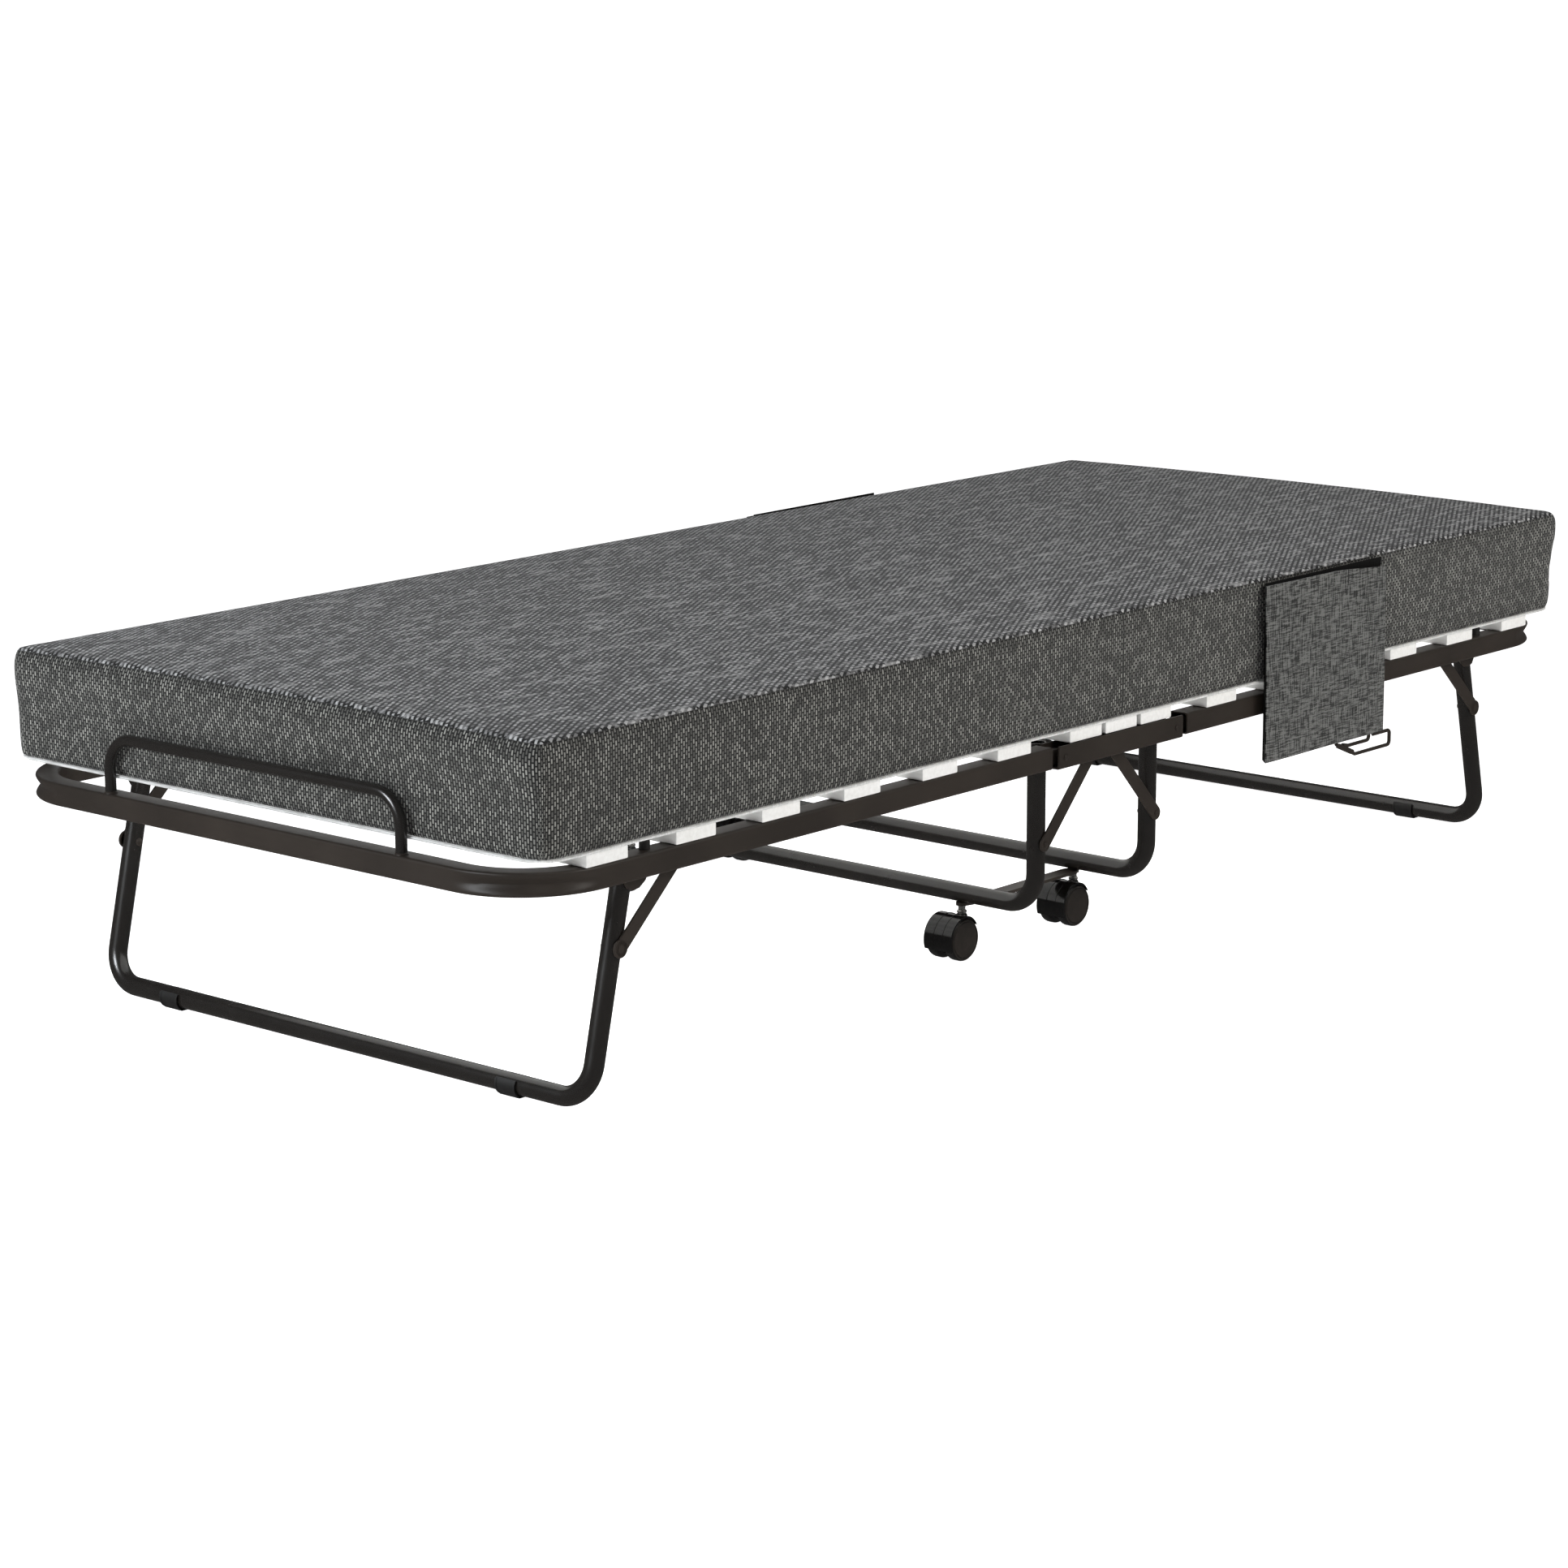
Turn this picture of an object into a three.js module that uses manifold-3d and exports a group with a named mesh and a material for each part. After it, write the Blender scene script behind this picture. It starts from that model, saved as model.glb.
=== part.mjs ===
// Rollaway bed: a folding steel frame with slats, a mattress, two side pockets and four casters.
// Millimetres. +X runs from the foot end to the head end, +Y across the bed and +Z up.
// The origin is on the floor, under the middle of the bed. In names, "near" is the -Y side.
import * as THREE from 'three';
import { mergeVertices } from 'three/addons/utils/BufferGeometryUtils.js';
import Module from 'manifold-3d';

const wasm = await Module();
wasm.setup();

// ---- driving dimensions ----
const HALF_LENGTH = 950; // bed centre to the outer face of an end rail
const HALF_WIDTH = 400; // bed centre to the outer face of a side rail
const GAP = 0.3; // left between pieces that touch

const RAIL_SIZE = 25; // square steel tube
const RAIL_TOP = 264;
const RAIL_BEND = 91.5; // centre line radius of the corner bends
const GROOVE_DEPTH = 5.5; // how far the outer wall sinks in a bend

const HINGE_X = 105; // fold hinges, from the bed centre
const HINGE_Z = 250;
const HINGE_BOLT = 3; // radius
const RAIL_END_X = 127; // where a rail stops short of its hinge
const TONGUE_HALF_HEIGHT = 8.5;
const TONGUE_THICKNESS = 8;

const CHANNEL_HALF_LENGTH = 117;
const CHANNEL_WALL = 2.5;
const CHANNEL_PROUD = 1.5; // how far it stands out past the rail's face
const CHANNEL_BOTTOM = 237.5;

const SLAT_THICKNESS = 13.7;
const SLAT_WIDTH = 59;
const SLAT_PITCH = 129;
const OUTER_SLAT_X = 840.5; // centre of the slat nearest each end
const SLATS_PER_SECTION = 6;
const MID_SLAT_WIDTH = 58.5;
const MID_SLAT_PITCH = 66;

const TUBE = 10.5; // radius of the leg tube
const TUBE_BEND = 38;
const POST_Y = 361; // centre of every leg post
const CENTER_LEG_TOP = 262;
const CENTER_CROSSBAR_Z = 73.8;

const LEG_PIVOT_X = 776.5;
const LEG_PIVOT_Z = 247;
const LEG_SPLAY = THREE.MathUtils.degToRad(13);
const LEG_LENGTH = 240.5; // pivot to crossbar centre line
const LEG_TOP = 11; // tube left above the pivot
const LEG_PIN = 4; // radius

const PLATE_INNER = 371.9; // plates and flat bars lie between the posts and the rails
const PLATE_OUTER = 374.7;
const FLAT_BAR_WIDTH = 16;
const LUG_DISTANCE = 84.2; // leg pivot to brace lug, along the leg
const LUG_RADIUS = 10;
const LUG_PIN = 3;
const LEG_BRACE_TOP = [702, 251]; // distance from the bed centre, height

const CENTER_BRACE_LOW_Z = 147;
const CENTER_BRACE_TOP = [17, 240];

const CLIP_Y = 256;
const CLIP_LENGTH = 28;
const CLIP_WALL = 1.9;
const CLIP_FLAT = 5; // half width of the flat sole

const STRIP_Y = 256.5;
const STRIP_WIDTH = 20;
const STRIP_BOTTOM = 59.3;
const STRIP_THICKNESS = 3.7;
const STRIP_HALF_LENGTH = 117;

const WHEEL_RADIUS = 24.6;
const WHEEL_HALF_TRACK = 19.6; // to the outer face of a wheel
const WHEEL_INNER = 6; // to the inner face of a wheel
const WHEEL_FLOOR_GAP = 0.1;
const CASTER_TRAIL = 17.5; // stem axis to wheel axle
const HOOD_RADIUS = 27.4;
const AXLE = 3;
const STEM = 4;

const HOOP_TUBE = 6;
const HOOP_X = 942;
const HOOP_HALF_WIDTH = 218.5;
const HOOP_BEND = 34;
const HOOP_TOP = 324;

const MATTRESS_HALF_LENGTH = 935;
const MATTRESS_Y = [-405, 391];
const MATTRESS_TOP = 403;
const MATTRESS_SPLIT = 110; // the core hinges here when the bed folds
const MATTRESS_EDGE = 12;

const POCKET_X = [264, 515];
const POCKET_Z = [185, 394];
const POCKET_Y = [405.6, 417];
const POCKET_WALL = 2;
const POCKET_BACK_RISE = 3; // the back panel stands above the front one
const POCKET_SHIFT = { near: 0, far: 23 }; // the far pocket hangs nearer the head end
const WIRE = 2.2;

const SLAT_BOTTOM = RAIL_TOP + GAP;
const SLAT_TOP = SLAT_BOTTOM + SLAT_THICKNESS;
const RAIL_MIDDLE = HALF_WIDTH - RAIL_SIZE / 2;

// ---- materials ----
const paint = (color, roughness, metalness) => new THREE.MeshStandardMaterial({ color, roughness, metalness });
const BLACK_STEEL = paint(0x2b2522, 0.38, 0.4);
const WHITE_STEEL = paint(0xe9e8e4, 0.45, 0.1);
const BLACK_PLASTIC = paint(0x161412, 0.3, 0.0);
const CHARCOAL_CLOTH = paint(0x55554f, 0.95, 0.0);
const POCKET_CLOTH = paint(0x5f605e, 0.95, 0.0);

// ---- outlines ----
function polygon(points) {
  return new THREE.Shape(points.map(([x, y]) => new THREE.Vector2(x, y)));
}

function circleOutline(radius, sides, center = [0, 0]) {
  const points = [];
  for (let i = 0; i < sides; i += 1) {
    const angle = (i / sides) * 2 * Math.PI;
    points.push([center[0] + radius * Math.cos(angle), center[1] + radius * Math.sin(angle)]);
  }
  return polygon(points);
}

// A rectangle with its own radius at the low and the high corners.
function roundedBox([left, right], [low, high], lowRadius, highRadius, steps = 4) {
  const corners = [
    [right - lowRadius, low + lowRadius, lowRadius, -0.5],
    [right - highRadius, high - highRadius, highRadius, 0],
    [left + highRadius, high - highRadius, highRadius, 0.5],
    [left + lowRadius, low + lowRadius, lowRadius, 1],
  ];
  const points = [];
  for (const [x, y, radius, start] of corners) {
    for (let i = 0; i <= steps; i += 1) {
      const angle = (start + (0.5 * i) / steps) * Math.PI;
      points.push([x + radius * Math.cos(angle), y + radius * Math.sin(angle)]);
    }
  }
  return polygon(points);
}

// A flat bar with round ends, between two points of the X-Z plane.
function barOutline(from, to, width, steps = 8) {
  const along = Math.atan2(to[1] - from[1], to[0] - from[0]);
  const points = [];
  for (const [[x, z], start] of [[to, along - Math.PI / 2], [from, along + Math.PI / 2]]) {
    for (let i = 0; i <= steps; i += 1) {
      const angle = start + (i / steps) * Math.PI;
      points.push([x + (width / 2) * Math.cos(angle), z + (width / 2) * Math.sin(angle)]);
    }
  }
  return polygon(points);
}

// ---- solids ----
const AXIS = { x: new THREE.Vector3(1, 0, 0), y: new THREE.Vector3(0, 1, 0), z: new THREE.Vector3(0, 0, 1) };

// The outline's axes are Y and Z.
function extrudeAlongX(shape, fromX, toX) {
  const geometry = new THREE.ExtrudeGeometry(shape, { depth: toX - fromX, bevelEnabled: false });
  geometry.applyMatrix4(new THREE.Matrix4().makeBasis(AXIS.y, AXIS.z, AXIS.x));
  return geometry.translate(fromX, 0, 0);
}

// The outline's axes are X and Z. The two Y values may come in either order.
function extrudeAlongY(shape, a, b) {
  const geometry = new THREE.ExtrudeGeometry(shape, { depth: Math.abs(b - a), bevelEnabled: false });
  geometry.rotateX(Math.PI / 2);
  return geometry.translate(0, Math.max(a, b), 0);
}

function cylinderAlongY(radius, a, b, [x, z], sides) {
  const geometry = new THREE.CylinderGeometry(radius, radius, Math.abs(b - a), sides);
  return geometry.translate(x, (a + b) / 2, z);
}

// A path whose stations sit exactly where the bends need them.
class StationPath extends THREE.Curve {
  constructor(stations) {
    super();
    this.stations = stations;
  }

  station(u) {
    return this.stations[Math.round(u * (this.stations.length - 1))];
  }

  getPointAt(u, target = new THREE.Vector3()) {
    return target.copy(this.station(u).point);
  }

  getTangentAt(u, target = new THREE.Vector3()) {
    return target.copy(this.station(u).tangent);
  }
}

// Corner points joined by straight runs, each inner corner rounded to the bend radius.
function bentPath(corners, radius, steps) {
  const points = corners.map((corner) => new THREE.Vector3(...corner));
  const direction = (i) => points[i + 1].clone().sub(points[i]).normalize();
  const stations = [{ point: points[0], tangent: direction(0) }];
  for (let i = 1; i < points.length - 1; i += 1) {
    const before = direction(i - 1);
    const after = direction(i);
    const turn = before.angleTo(after);
    const start = points[i].clone().addScaledVector(before, -radius * Math.tan(turn / 2));
    const inward = after.clone().addScaledVector(before, -after.dot(before)).normalize();
    for (let k = 0; k <= steps; k += 1) {
      const angle = (turn * k) / steps;
      const point = start.clone().addScaledVector(before, radius * Math.sin(angle));
      point.addScaledVector(inward, radius * (1 - Math.cos(angle)));
      const tangent = before.clone().multiplyScalar(Math.cos(angle)).addScaledVector(inward, Math.sin(angle));
      stations.push({ point, tangent });
    }
  }
  stations.push({ point: points.at(-1), tangent: direction(points.length - 2) });
  return new StationPath(stations);
}

function sweep(shape, path) {
  return new THREE.ExtrudeGeometry(shape, { steps: path.stations.length - 1, extrudePath: path });
}

function bentTube(corners, radius, bend, sides = 12, steps = 6) {
  return sweep(circleOutline(radius, sides), bentPath(corners, bend, steps));
}

// ---- joining and cutting ----
function solidOf(geometry) {
  const bare = geometry.clone();
  bare.deleteAttribute('normal');
  bare.deleteAttribute('uv');
  const merged = mergeVertices(bare, 1e-4);
  return new wasm.Manifold(
    new wasm.Mesh({
      numProp: 3,
      vertProperties: Float32Array.from(merged.attributes.position.array),
      triVerts: Uint32Array.from(merged.index.array),
    }),
  );
}

function geometryOf(solid) {
  const mesh = solid.getMesh();
  const geometry = new THREE.BufferGeometry();
  geometry.setAttribute('position', new THREE.BufferAttribute(Float32Array.from(mesh.vertProperties), 3));
  geometry.setIndex(new THREE.BufferAttribute(Uint32Array.from(mesh.triVerts), 1));
  geometry.computeVertexNormals();
  return geometry;
}

function combine(added, cut = []) {
  let solid = solidOf(added[0]);
  for (const geometry of added.slice(1)) {
    solid = solid.add(solidOf(geometry));
  }
  for (const geometry of cut) {
    solid = solid.subtract(solidOf(geometry));
  }
  return geometryOf(solid);
}

// ---- the object ----
const bed = new THREE.Group();
const ENDS = { foot: -1, head: 1 };
const SIDES = { near: -1, far: 1 };

function place(name, geometry, material, x = 0, y = 0, z = 0) {
  const mesh = new THREE.Mesh(geometry, material);
  mesh.name = name;
  mesh.position.set(x, y, z);
  bed.add(mesh);
  return mesh;
}

// The V-shaped groove that a bend leaves in the tube's outer wall, deepest at the middle of the bend.
function bendGroove(end, side) {
  const outer = RAIL_BEND + RAIL_SIZE / 2;
  const middle = outer - GROOVE_DEPTH;
  const a = 2 - Math.SQRT2;
  const b = a * middle;
  const shift = (-b + Math.sqrt(b * b + 4 * a * (outer * outer - middle * middle))) / (2 * a);
  const radius = middle + shift;
  const centerX = HALF_LENGTH - outer - shift * Math.SQRT1_2;
  const centerY = HALF_WIDTH - outer - shift * Math.SQRT1_2;
  const steps = 9;
  const stations = [];
  for (let i = 0; i <= steps; i += 1) {
    const angle = THREE.MathUtils.degToRad(82 - (74 * i) / steps);
    const x = end * (centerX + radius * Math.cos(angle));
    const y = side * (centerY + radius * Math.sin(angle));
    const tangent = new THREE.Vector3(end * Math.sin(angle), -side * Math.cos(angle), 0);
    stations.push({ point: new THREE.Vector3(x, y, RAIL_TOP - RAIL_SIZE / 2), tangent });
  }
  const outward = end * side;
  const wedge = polygon([[0, 0], [15, 12 * outward], [-15, 12 * outward]]);
  return sweep(wedge, new StationPath(stations));
}

function addRail(end, name) {
  const half = RAIL_SIZE / 2;
  const middleZ = RAIL_TOP - half;
  const section = roundedBox([-half, half], [-half, half], 3, 3, 2);
  const corners = [
    [end * RAIL_END_X, -RAIL_MIDDLE, middleZ],
    [end * (HALF_LENGTH - half), -RAIL_MIDDLE, middleZ],
    [end * (HALF_LENGTH - half), RAIL_MIDDLE, middleZ],
    [end * RAIL_END_X, RAIL_MIDDLE, middleZ],
  ];
  const added = [sweep(section, bentPath(corners, RAIL_BEND, 9))];
  const cut = [];
  for (const side of Object.values(SIDES)) {
    const tongueEnd = [end * (RAIL_END_X + 8), HINGE_Z];
    const tongue = barOutline([end * HINGE_X, HINGE_Z], tongueEnd, 2 * TONGUE_HALF_HEIGHT);
    tongue.holes.push(circleOutline(HINGE_BOLT + GAP, 12, [end * HINGE_X, HINGE_Z]));
    const middle = side * RAIL_MIDDLE;
    added.push(extrudeAlongY(tongue, middle - TONGUE_THICKNESS / 2, middle + TONGUE_THICKNESS / 2));
    cut.push(bendGroove(end, side));
  }
  place(`rail_${name}`, combine(added, cut), BLACK_STEEL);
}

function slatGeometry(width) {
  const outline = roundedBox([-width / 2, width / 2], [SLAT_BOTTOM, SLAT_TOP], 1.2, 1.8, 2);
  return extrudeAlongY(outline, -HALF_WIDTH, HALF_WIDTH);
}

function addSlats() {
  for (const [name, end] of Object.entries(ENDS)) {
    for (let i = 0; i < SLATS_PER_SECTION; i += 1) {
      const x = end * (OUTER_SLAT_X - i * SLAT_PITCH);
      place(`slat_${name}_${i + 1}`, slatGeometry(SLAT_WIDTH), WHITE_STEEL, x);
    }
  }
  for (let i = -1; i <= 1; i += 1) {
    place(`slat_middle_${i + 2}`, slatGeometry(MID_SLAT_WIDTH), WHITE_STEEL, i * MID_SLAT_PITCH);
  }
}

// An open-topped channel with a hinge bolt across it at each end.
function addChannel(side, name) {
  const outer = HALF_WIDTH + CHANNEL_PROUD;
  const inner = HALF_WIDTH - RAIL_SIZE;
  const top = RAIL_TOP - GAP;
  const outline = polygon([
    [side * outer, CHANNEL_BOTTOM],
    [side * outer, top],
    [side * (outer - CHANNEL_WALL), top],
    [side * (outer - CHANNEL_WALL), CHANNEL_BOTTOM + CHANNEL_WALL],
    [side * (inner + CHANNEL_WALL), CHANNEL_BOTTOM + CHANNEL_WALL],
    [side * (inner + CHANNEL_WALL), top],
    [side * inner, top],
    [side * inner, CHANNEL_BOTTOM],
  ]);
  const added = [extrudeAlongX(outline, -CHANNEL_HALF_LENGTH, CHANNEL_HALF_LENGTH)];
  for (const x of [-HINGE_X, HINGE_X]) {
    added.push(cylinderAlongY(HINGE_BOLT, side * (inner - 2.5), side * (outer + 1), [x, HINGE_Z], 12));
    added.push(cylinderAlongY(6, side * (outer - 1), side * (outer + 1.5), [x, HINGE_Z], 12));
  }
  place(`channel_${name}`, combine(added), BLACK_STEEL);
}

function addCenterLeg(end, name) {
  const x = end * HINGE_X;
  const corners = [
    [x, -POST_Y, CENTER_LEG_TOP],
    [x, -POST_Y, CENTER_CROSSBAR_Z],
    [x, POST_Y, CENTER_CROSSBAR_Z],
    [x, POST_Y, CENTER_LEG_TOP],
  ];
  place(`center_leg_${name}`, bentTube(corners, TUBE, TUBE_BEND), BLACK_STEEL);
}

// A flat bar riveted low on a centre leg's post, leaning in under the channel.
function addCenterBrace(end, endName, side, sideName) {
  const low = [end * HINGE_X, CENTER_BRACE_LOW_Z];
  const top = [end * CENTER_BRACE_TOP[0], CENTER_BRACE_TOP[1]];
  const bar = extrudeAlongY(barOutline(low, top, FLAT_BAR_WIDTH), side * PLATE_INNER, side * PLATE_OUTER);
  const rivet = cylinderAlongY(5, side * (PLATE_INNER + 1), side * (PLATE_OUTER + 2), low, 12);
  place(`center_brace_${endName}_${sideName}`, combine([bar, rivet]), BLACK_STEEL);
}

function addCasterStrip(side, name) {
  const outline = roundedBox(
    [side * STRIP_Y - STRIP_WIDTH / 2, side * STRIP_Y + STRIP_WIDTH / 2],
    [STRIP_BOTTOM, STRIP_BOTTOM + STRIP_THICKNESS],
    0.8,
    0.8,
    1,
  );
  place(`caster_strip_${name}`, extrudeAlongX(outline, -STRIP_HALF_LENGTH, STRIP_HALF_LENGTH), BLACK_STEEL);
}

// Built upright around the pivot, then leaned outward.
function addEndLeg(end, name) {
  const corners = [
    [0, -POST_Y, LEG_TOP],
    [0, -POST_Y, -LEG_LENGTH],
    [0, POST_Y, -LEG_LENGTH],
    [0, POST_Y, LEG_TOP],
  ];
  const added = [bentTube(corners, TUBE, TUBE_BEND)];
  const cut = [];
  for (const side of Object.values(SIDES)) {
    const lug = [0, -LUG_DISTANCE];
    added.push(cylinderAlongY(LUG_PIN, side * (POST_Y + 5), side * PLATE_OUTER, lug, 12));
    cut.push(cylinderAlongY(LEG_PIN + GAP, side * (POST_Y - 20), side * (POST_Y + 20), [0, 0], 12));
  }
  const leg = place(`leg_${name}`, combine(added, cut), BLACK_STEEL, end * LEG_PIVOT_X, 0, LEG_PIVOT_Z);
  leg.rotation.y = -end * LEG_SPLAY;
}

// A plate on the rail's inner wall that carries the leg's pivot pin.
// Its ear rises between two slats.
function addLegBracket(end, endName, side, sideName) {
  const plate = polygon(
    [
      [800, 224],
      [796, 220],
      [773, 220],
      [757, 232],
      [757, 262],
      [765, 263],
      [765, 267],
      [779, 267],
      [779, 263],
      [800, 262],
    ].map(([x, z]) => [end * x, z]),
  );
  const pivot = [end * LEG_PIVOT_X, LEG_PIVOT_Z];
  const pinEnd = POST_Y - TUBE - 1;
  const added = [
    extrudeAlongY(plate, side * PLATE_INNER, side * PLATE_OUTER),
    cylinderAlongY(LEG_PIN, side * (pinEnd - 2), side * (PLATE_INNER + 1), pivot, 12),
    cylinderAlongY(7, side * (pinEnd - 3), side * pinEnd, pivot, 12),
  ];
  place(`leg_bracket_${endName}_${sideName}`, combine(added), BLACK_STEEL);
}

// Its upper end slides along the rail's inner wall as the leg folds.
function addLegBrace(end, endName, side, sideName) {
  const lug = [
    end * (LEG_PIVOT_X + LUG_DISTANCE * Math.sin(LEG_SPLAY)),
    LEG_PIVOT_Z - LUG_DISTANCE * Math.cos(LEG_SPLAY),
  ];
  const top = [end * LEG_BRACE_TOP[0], LEG_BRACE_TOP[1]];
  const added = [
    extrudeAlongY(barOutline(lug, top, FLAT_BAR_WIDTH), side * PLATE_INNER, side * PLATE_OUTER),
    cylinderAlongY(LUG_RADIUS, side * PLATE_INNER, side * PLATE_OUTER, lug, 24),
  ];
  const cut = [cylinderAlongY(LUG_PIN + GAP, side * (PLATE_INNER - 5), side * (PLATE_OUTER + 5), lug, 16)];
  place(`leg_brace_${endName}_${sideName}`, combine(added, cut), BLACK_STEEL);
}

// A wrap around the crossbar with a flat sole on the floor.
function addFootClip(end, endName, side, sideName) {
  const inner = TUBE + GAP;
  const outer = inner + CLIP_WALL;
  const open = 0.3 * Math.PI;
  const steps = 10;
  const arc = (radius, reverse) => {
    const points = [];
    for (let i = 0; i <= steps; i += 1) {
      const share = reverse ? 1 - i / steps : i / steps;
      const angle = Math.PI / 2 + open + share * (2 * Math.PI - 2 * open);
      points.push([radius * Math.cos(angle), radius * Math.sin(angle)]);
    }
    return points;
  };
  const outline = polygon([...arc(outer, false), ...arc(inner, true)]);
  const ring = extrudeAlongY(outline, -CLIP_LENGTH / 2, CLIP_LENGTH / 2);
  const sole = polygon([
    [-CLIP_FLAT, -outer],
    [CLIP_FLAT, -outer],
    [CLIP_FLAT + 3, -inner],
    [-CLIP_FLAT - 3, -inner],
  ]);
  const bore = cylinderAlongY(inner, -CLIP_LENGTH, CLIP_LENGTH, [0, 0], 24);
  const geometry = combine([ring, extrudeAlongY(sole, -CLIP_LENGTH / 2, CLIP_LENGTH / 2)], [bore]);
  const x = end * (LEG_PIVOT_X + LEG_LENGTH * Math.sin(LEG_SPLAY));
  place(`foot_clip_${endName}_${sideName}`, geometry, BLACK_PLASTIC, x, side * CLIP_Y, outer);
}

function addHoop(end, name) {
  const foot = RAIL_TOP + GAP;
  const corners = [
    [end * HOOP_X, -HOOP_HALF_WIDTH, foot],
    [end * HOOP_X, -HOOP_HALF_WIDTH, HOOP_TOP],
    [end * HOOP_X, HOOP_HALF_WIDTH, HOOP_TOP],
    [end * HOOP_X, HOOP_HALF_WIDTH, foot],
  ];
  place(`hoop_${name}`, bentTube(corners, HOOP_TUBE, HOOP_BEND, 10), BLACK_STEEL);
}

function mattressGeometry(fromX, toX) {
  const outline = roundedBox(MATTRESS_Y, [SLAT_TOP + GAP, MATTRESS_TOP], 3, MATTRESS_EDGE, 4);
  return extrudeAlongX(outline, fromX, toX);
}

function addMattress() {
  place('mattress_foot', mattressGeometry(-MATTRESS_HALF_LENGTH, -MATTRESS_SPLIT - GAP), CHARCOAL_CLOTH);
  place('mattress_middle', mattressGeometry(-MATTRESS_SPLIT, MATTRESS_SPLIT), CHARCOAL_CLOTH);
  place('mattress_head', mattressGeometry(MATTRESS_SPLIT + GAP, MATTRESS_HALF_LENGTH), CHARCOAL_CLOTH);
}

// A flat pouch, open at the top, that hangs beside the mattress.
function addPocket(side, name) {
  const [left, right] = POCKET_X;
  const [low, high] = POCKET_Z;
  const [inner, outer] = POCKET_Y;
  const body = extrudeAlongY(roundedBox([left, right], [low, high], 6, 1), side * inner, side * outer);
  const back = extrudeAlongY(
    roundedBox([left, right], [low + 20, high + POCKET_BACK_RISE], 1, 1),
    side * inner,
    side * (inner + POCKET_WALL),
  );
  const hollow = roundedBox([left + POCKET_WALL, right - POCKET_WALL], [low + POCKET_WALL, high + 40], 5, 1);
  const inside = extrudeAlongY(hollow, side * (inner + POCKET_WALL), side * (outer - POCKET_WALL));
  place(`pocket_${name}`, combine([body, back], [inside]), POCKET_CLOTH, POCKET_SHIFT[name]);
}

// Two nested wire loops below the pocket, joined at one end by a flat strap.
function addPocketWire(side, name) {
  const y = side * (POCKET_Y[0] + POCKET_Y[1]) * 0.5;
  const hem = POCKET_Z[0] - GAP;
  const outerLoop = [[420, hem - 2.5], [461, 164], [537, 164], [537, 182], [500, 182]];
  const innerLoop = [[434, 179.5], [446, 176.8], [491, 176.8], [491, hem]];
  const strap = barOutline([425, 179.5], [455, 167.5], 6);
  const loops = [outerLoop, innerLoop].map((points) =>
    bentTube(points.map(([x, z]) => [x, y, z]), WIRE, 3.5, 6, 2),
  );
  const holder = combine([...loops, extrudeAlongY(strap, y - WIRE, y + WIRE)]);
  place(`pocket_wire_${name}`, holder, BLACK_STEEL, POCKET_SHIFT[name]);
}

// Two wheels turned with their axle, around the axle's centre.
function wheelGeometry() {
  const half = [
    [0, WHEEL_HALF_TRACK],
    [22, WHEEL_HALF_TRACK],
    [WHEEL_RADIUS, WHEEL_HALF_TRACK - 3],
    [WHEEL_RADIUS, WHEEL_INNER],
    [AXLE, WHEEL_INNER],
  ];
  const lower = half.map(([r, y]) => new THREE.Vector2(r, -y));
  const upper = half.map(([r, y]) => new THREE.Vector2(r, y)).reverse();
  return new THREE.LatheGeometry([...lower, ...upper], 24);
}

// The hood covers the wheels' top and trailing side, holds the axle between them and carries the stem.
function hoodGeometry() {
  const from = THREE.MathUtils.degToRad(34);
  const to = THREE.MathUtils.degToRad(203);
  const steps = 10;
  const arc = (radius) => {
    const points = [];
    for (let i = 0; i <= steps; i += 1) {
      const angle = from + ((to - from) * i) / steps;
      points.push([radius * Math.cos(angle), radius * Math.sin(angle)]);
    }
    return points;
  };
  const shellInner = WHEEL_RADIUS + 0.7;
  const fender = polygon([...arc(HOOD_RADIUS), ...arc(shellInner).reverse()]);
  const web = polygon([[0, 0], ...arc(HOOD_RADIUS - 0.5)]);
  const webHalf = WHEEL_INNER - 0.6;
  const neckTop = 27;
  const stemTop = STRIP_BOTTOM - GAP - WHEEL_RADIUS - WHEEL_FLOOR_GAP;
  const upright = (radius, low, high, sides) => {
    const geometry = new THREE.CylinderGeometry(radius, radius, high - low, sides);
    return geometry.rotateX(Math.PI / 2).translate(CASTER_TRAIL, 0, (low + high) / 2);
  };
  const added = [
    extrudeAlongY(fender, -WHEEL_HALF_TRACK, WHEEL_HALF_TRACK),
    extrudeAlongY(web, -webHalf, webHalf),
    cylinderAlongY(19, -webHalf, webHalf, [0, 0], 16),
    upright(7, 12, neckTop, 12),
    upright(STEM, 20, stemTop, 10),
  ];
  const cut = [cylinderAlongY(AXLE + GAP, -30, 30, [0, 0], 12)];
  for (const side of Object.values(SIDES)) {
    cut.push(cylinderAlongY(shellInner, side * webHalf, side * (WHEEL_HALF_TRACK + 5), [0, 0], 24));
  }
  return combine(added, cut);
}

function addCasters() {
  for (const [endName, end] of Object.entries(ENDS)) {
    for (const [sideName, side] of Object.entries(SIDES)) {
      const x = end * HINGE_X - CASTER_TRAIL;
      const y = side * STRIP_Y;
      const z = WHEEL_RADIUS + WHEEL_FLOOR_GAP;
      place(`caster_hood_${endName}_${sideName}`, hoodGeometry(), BLACK_PLASTIC, x, y, z);
      place(`caster_wheels_${endName}_${sideName}`, wheelGeometry(), BLACK_PLASTIC, x, y, z);
    }
  }
}

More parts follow.
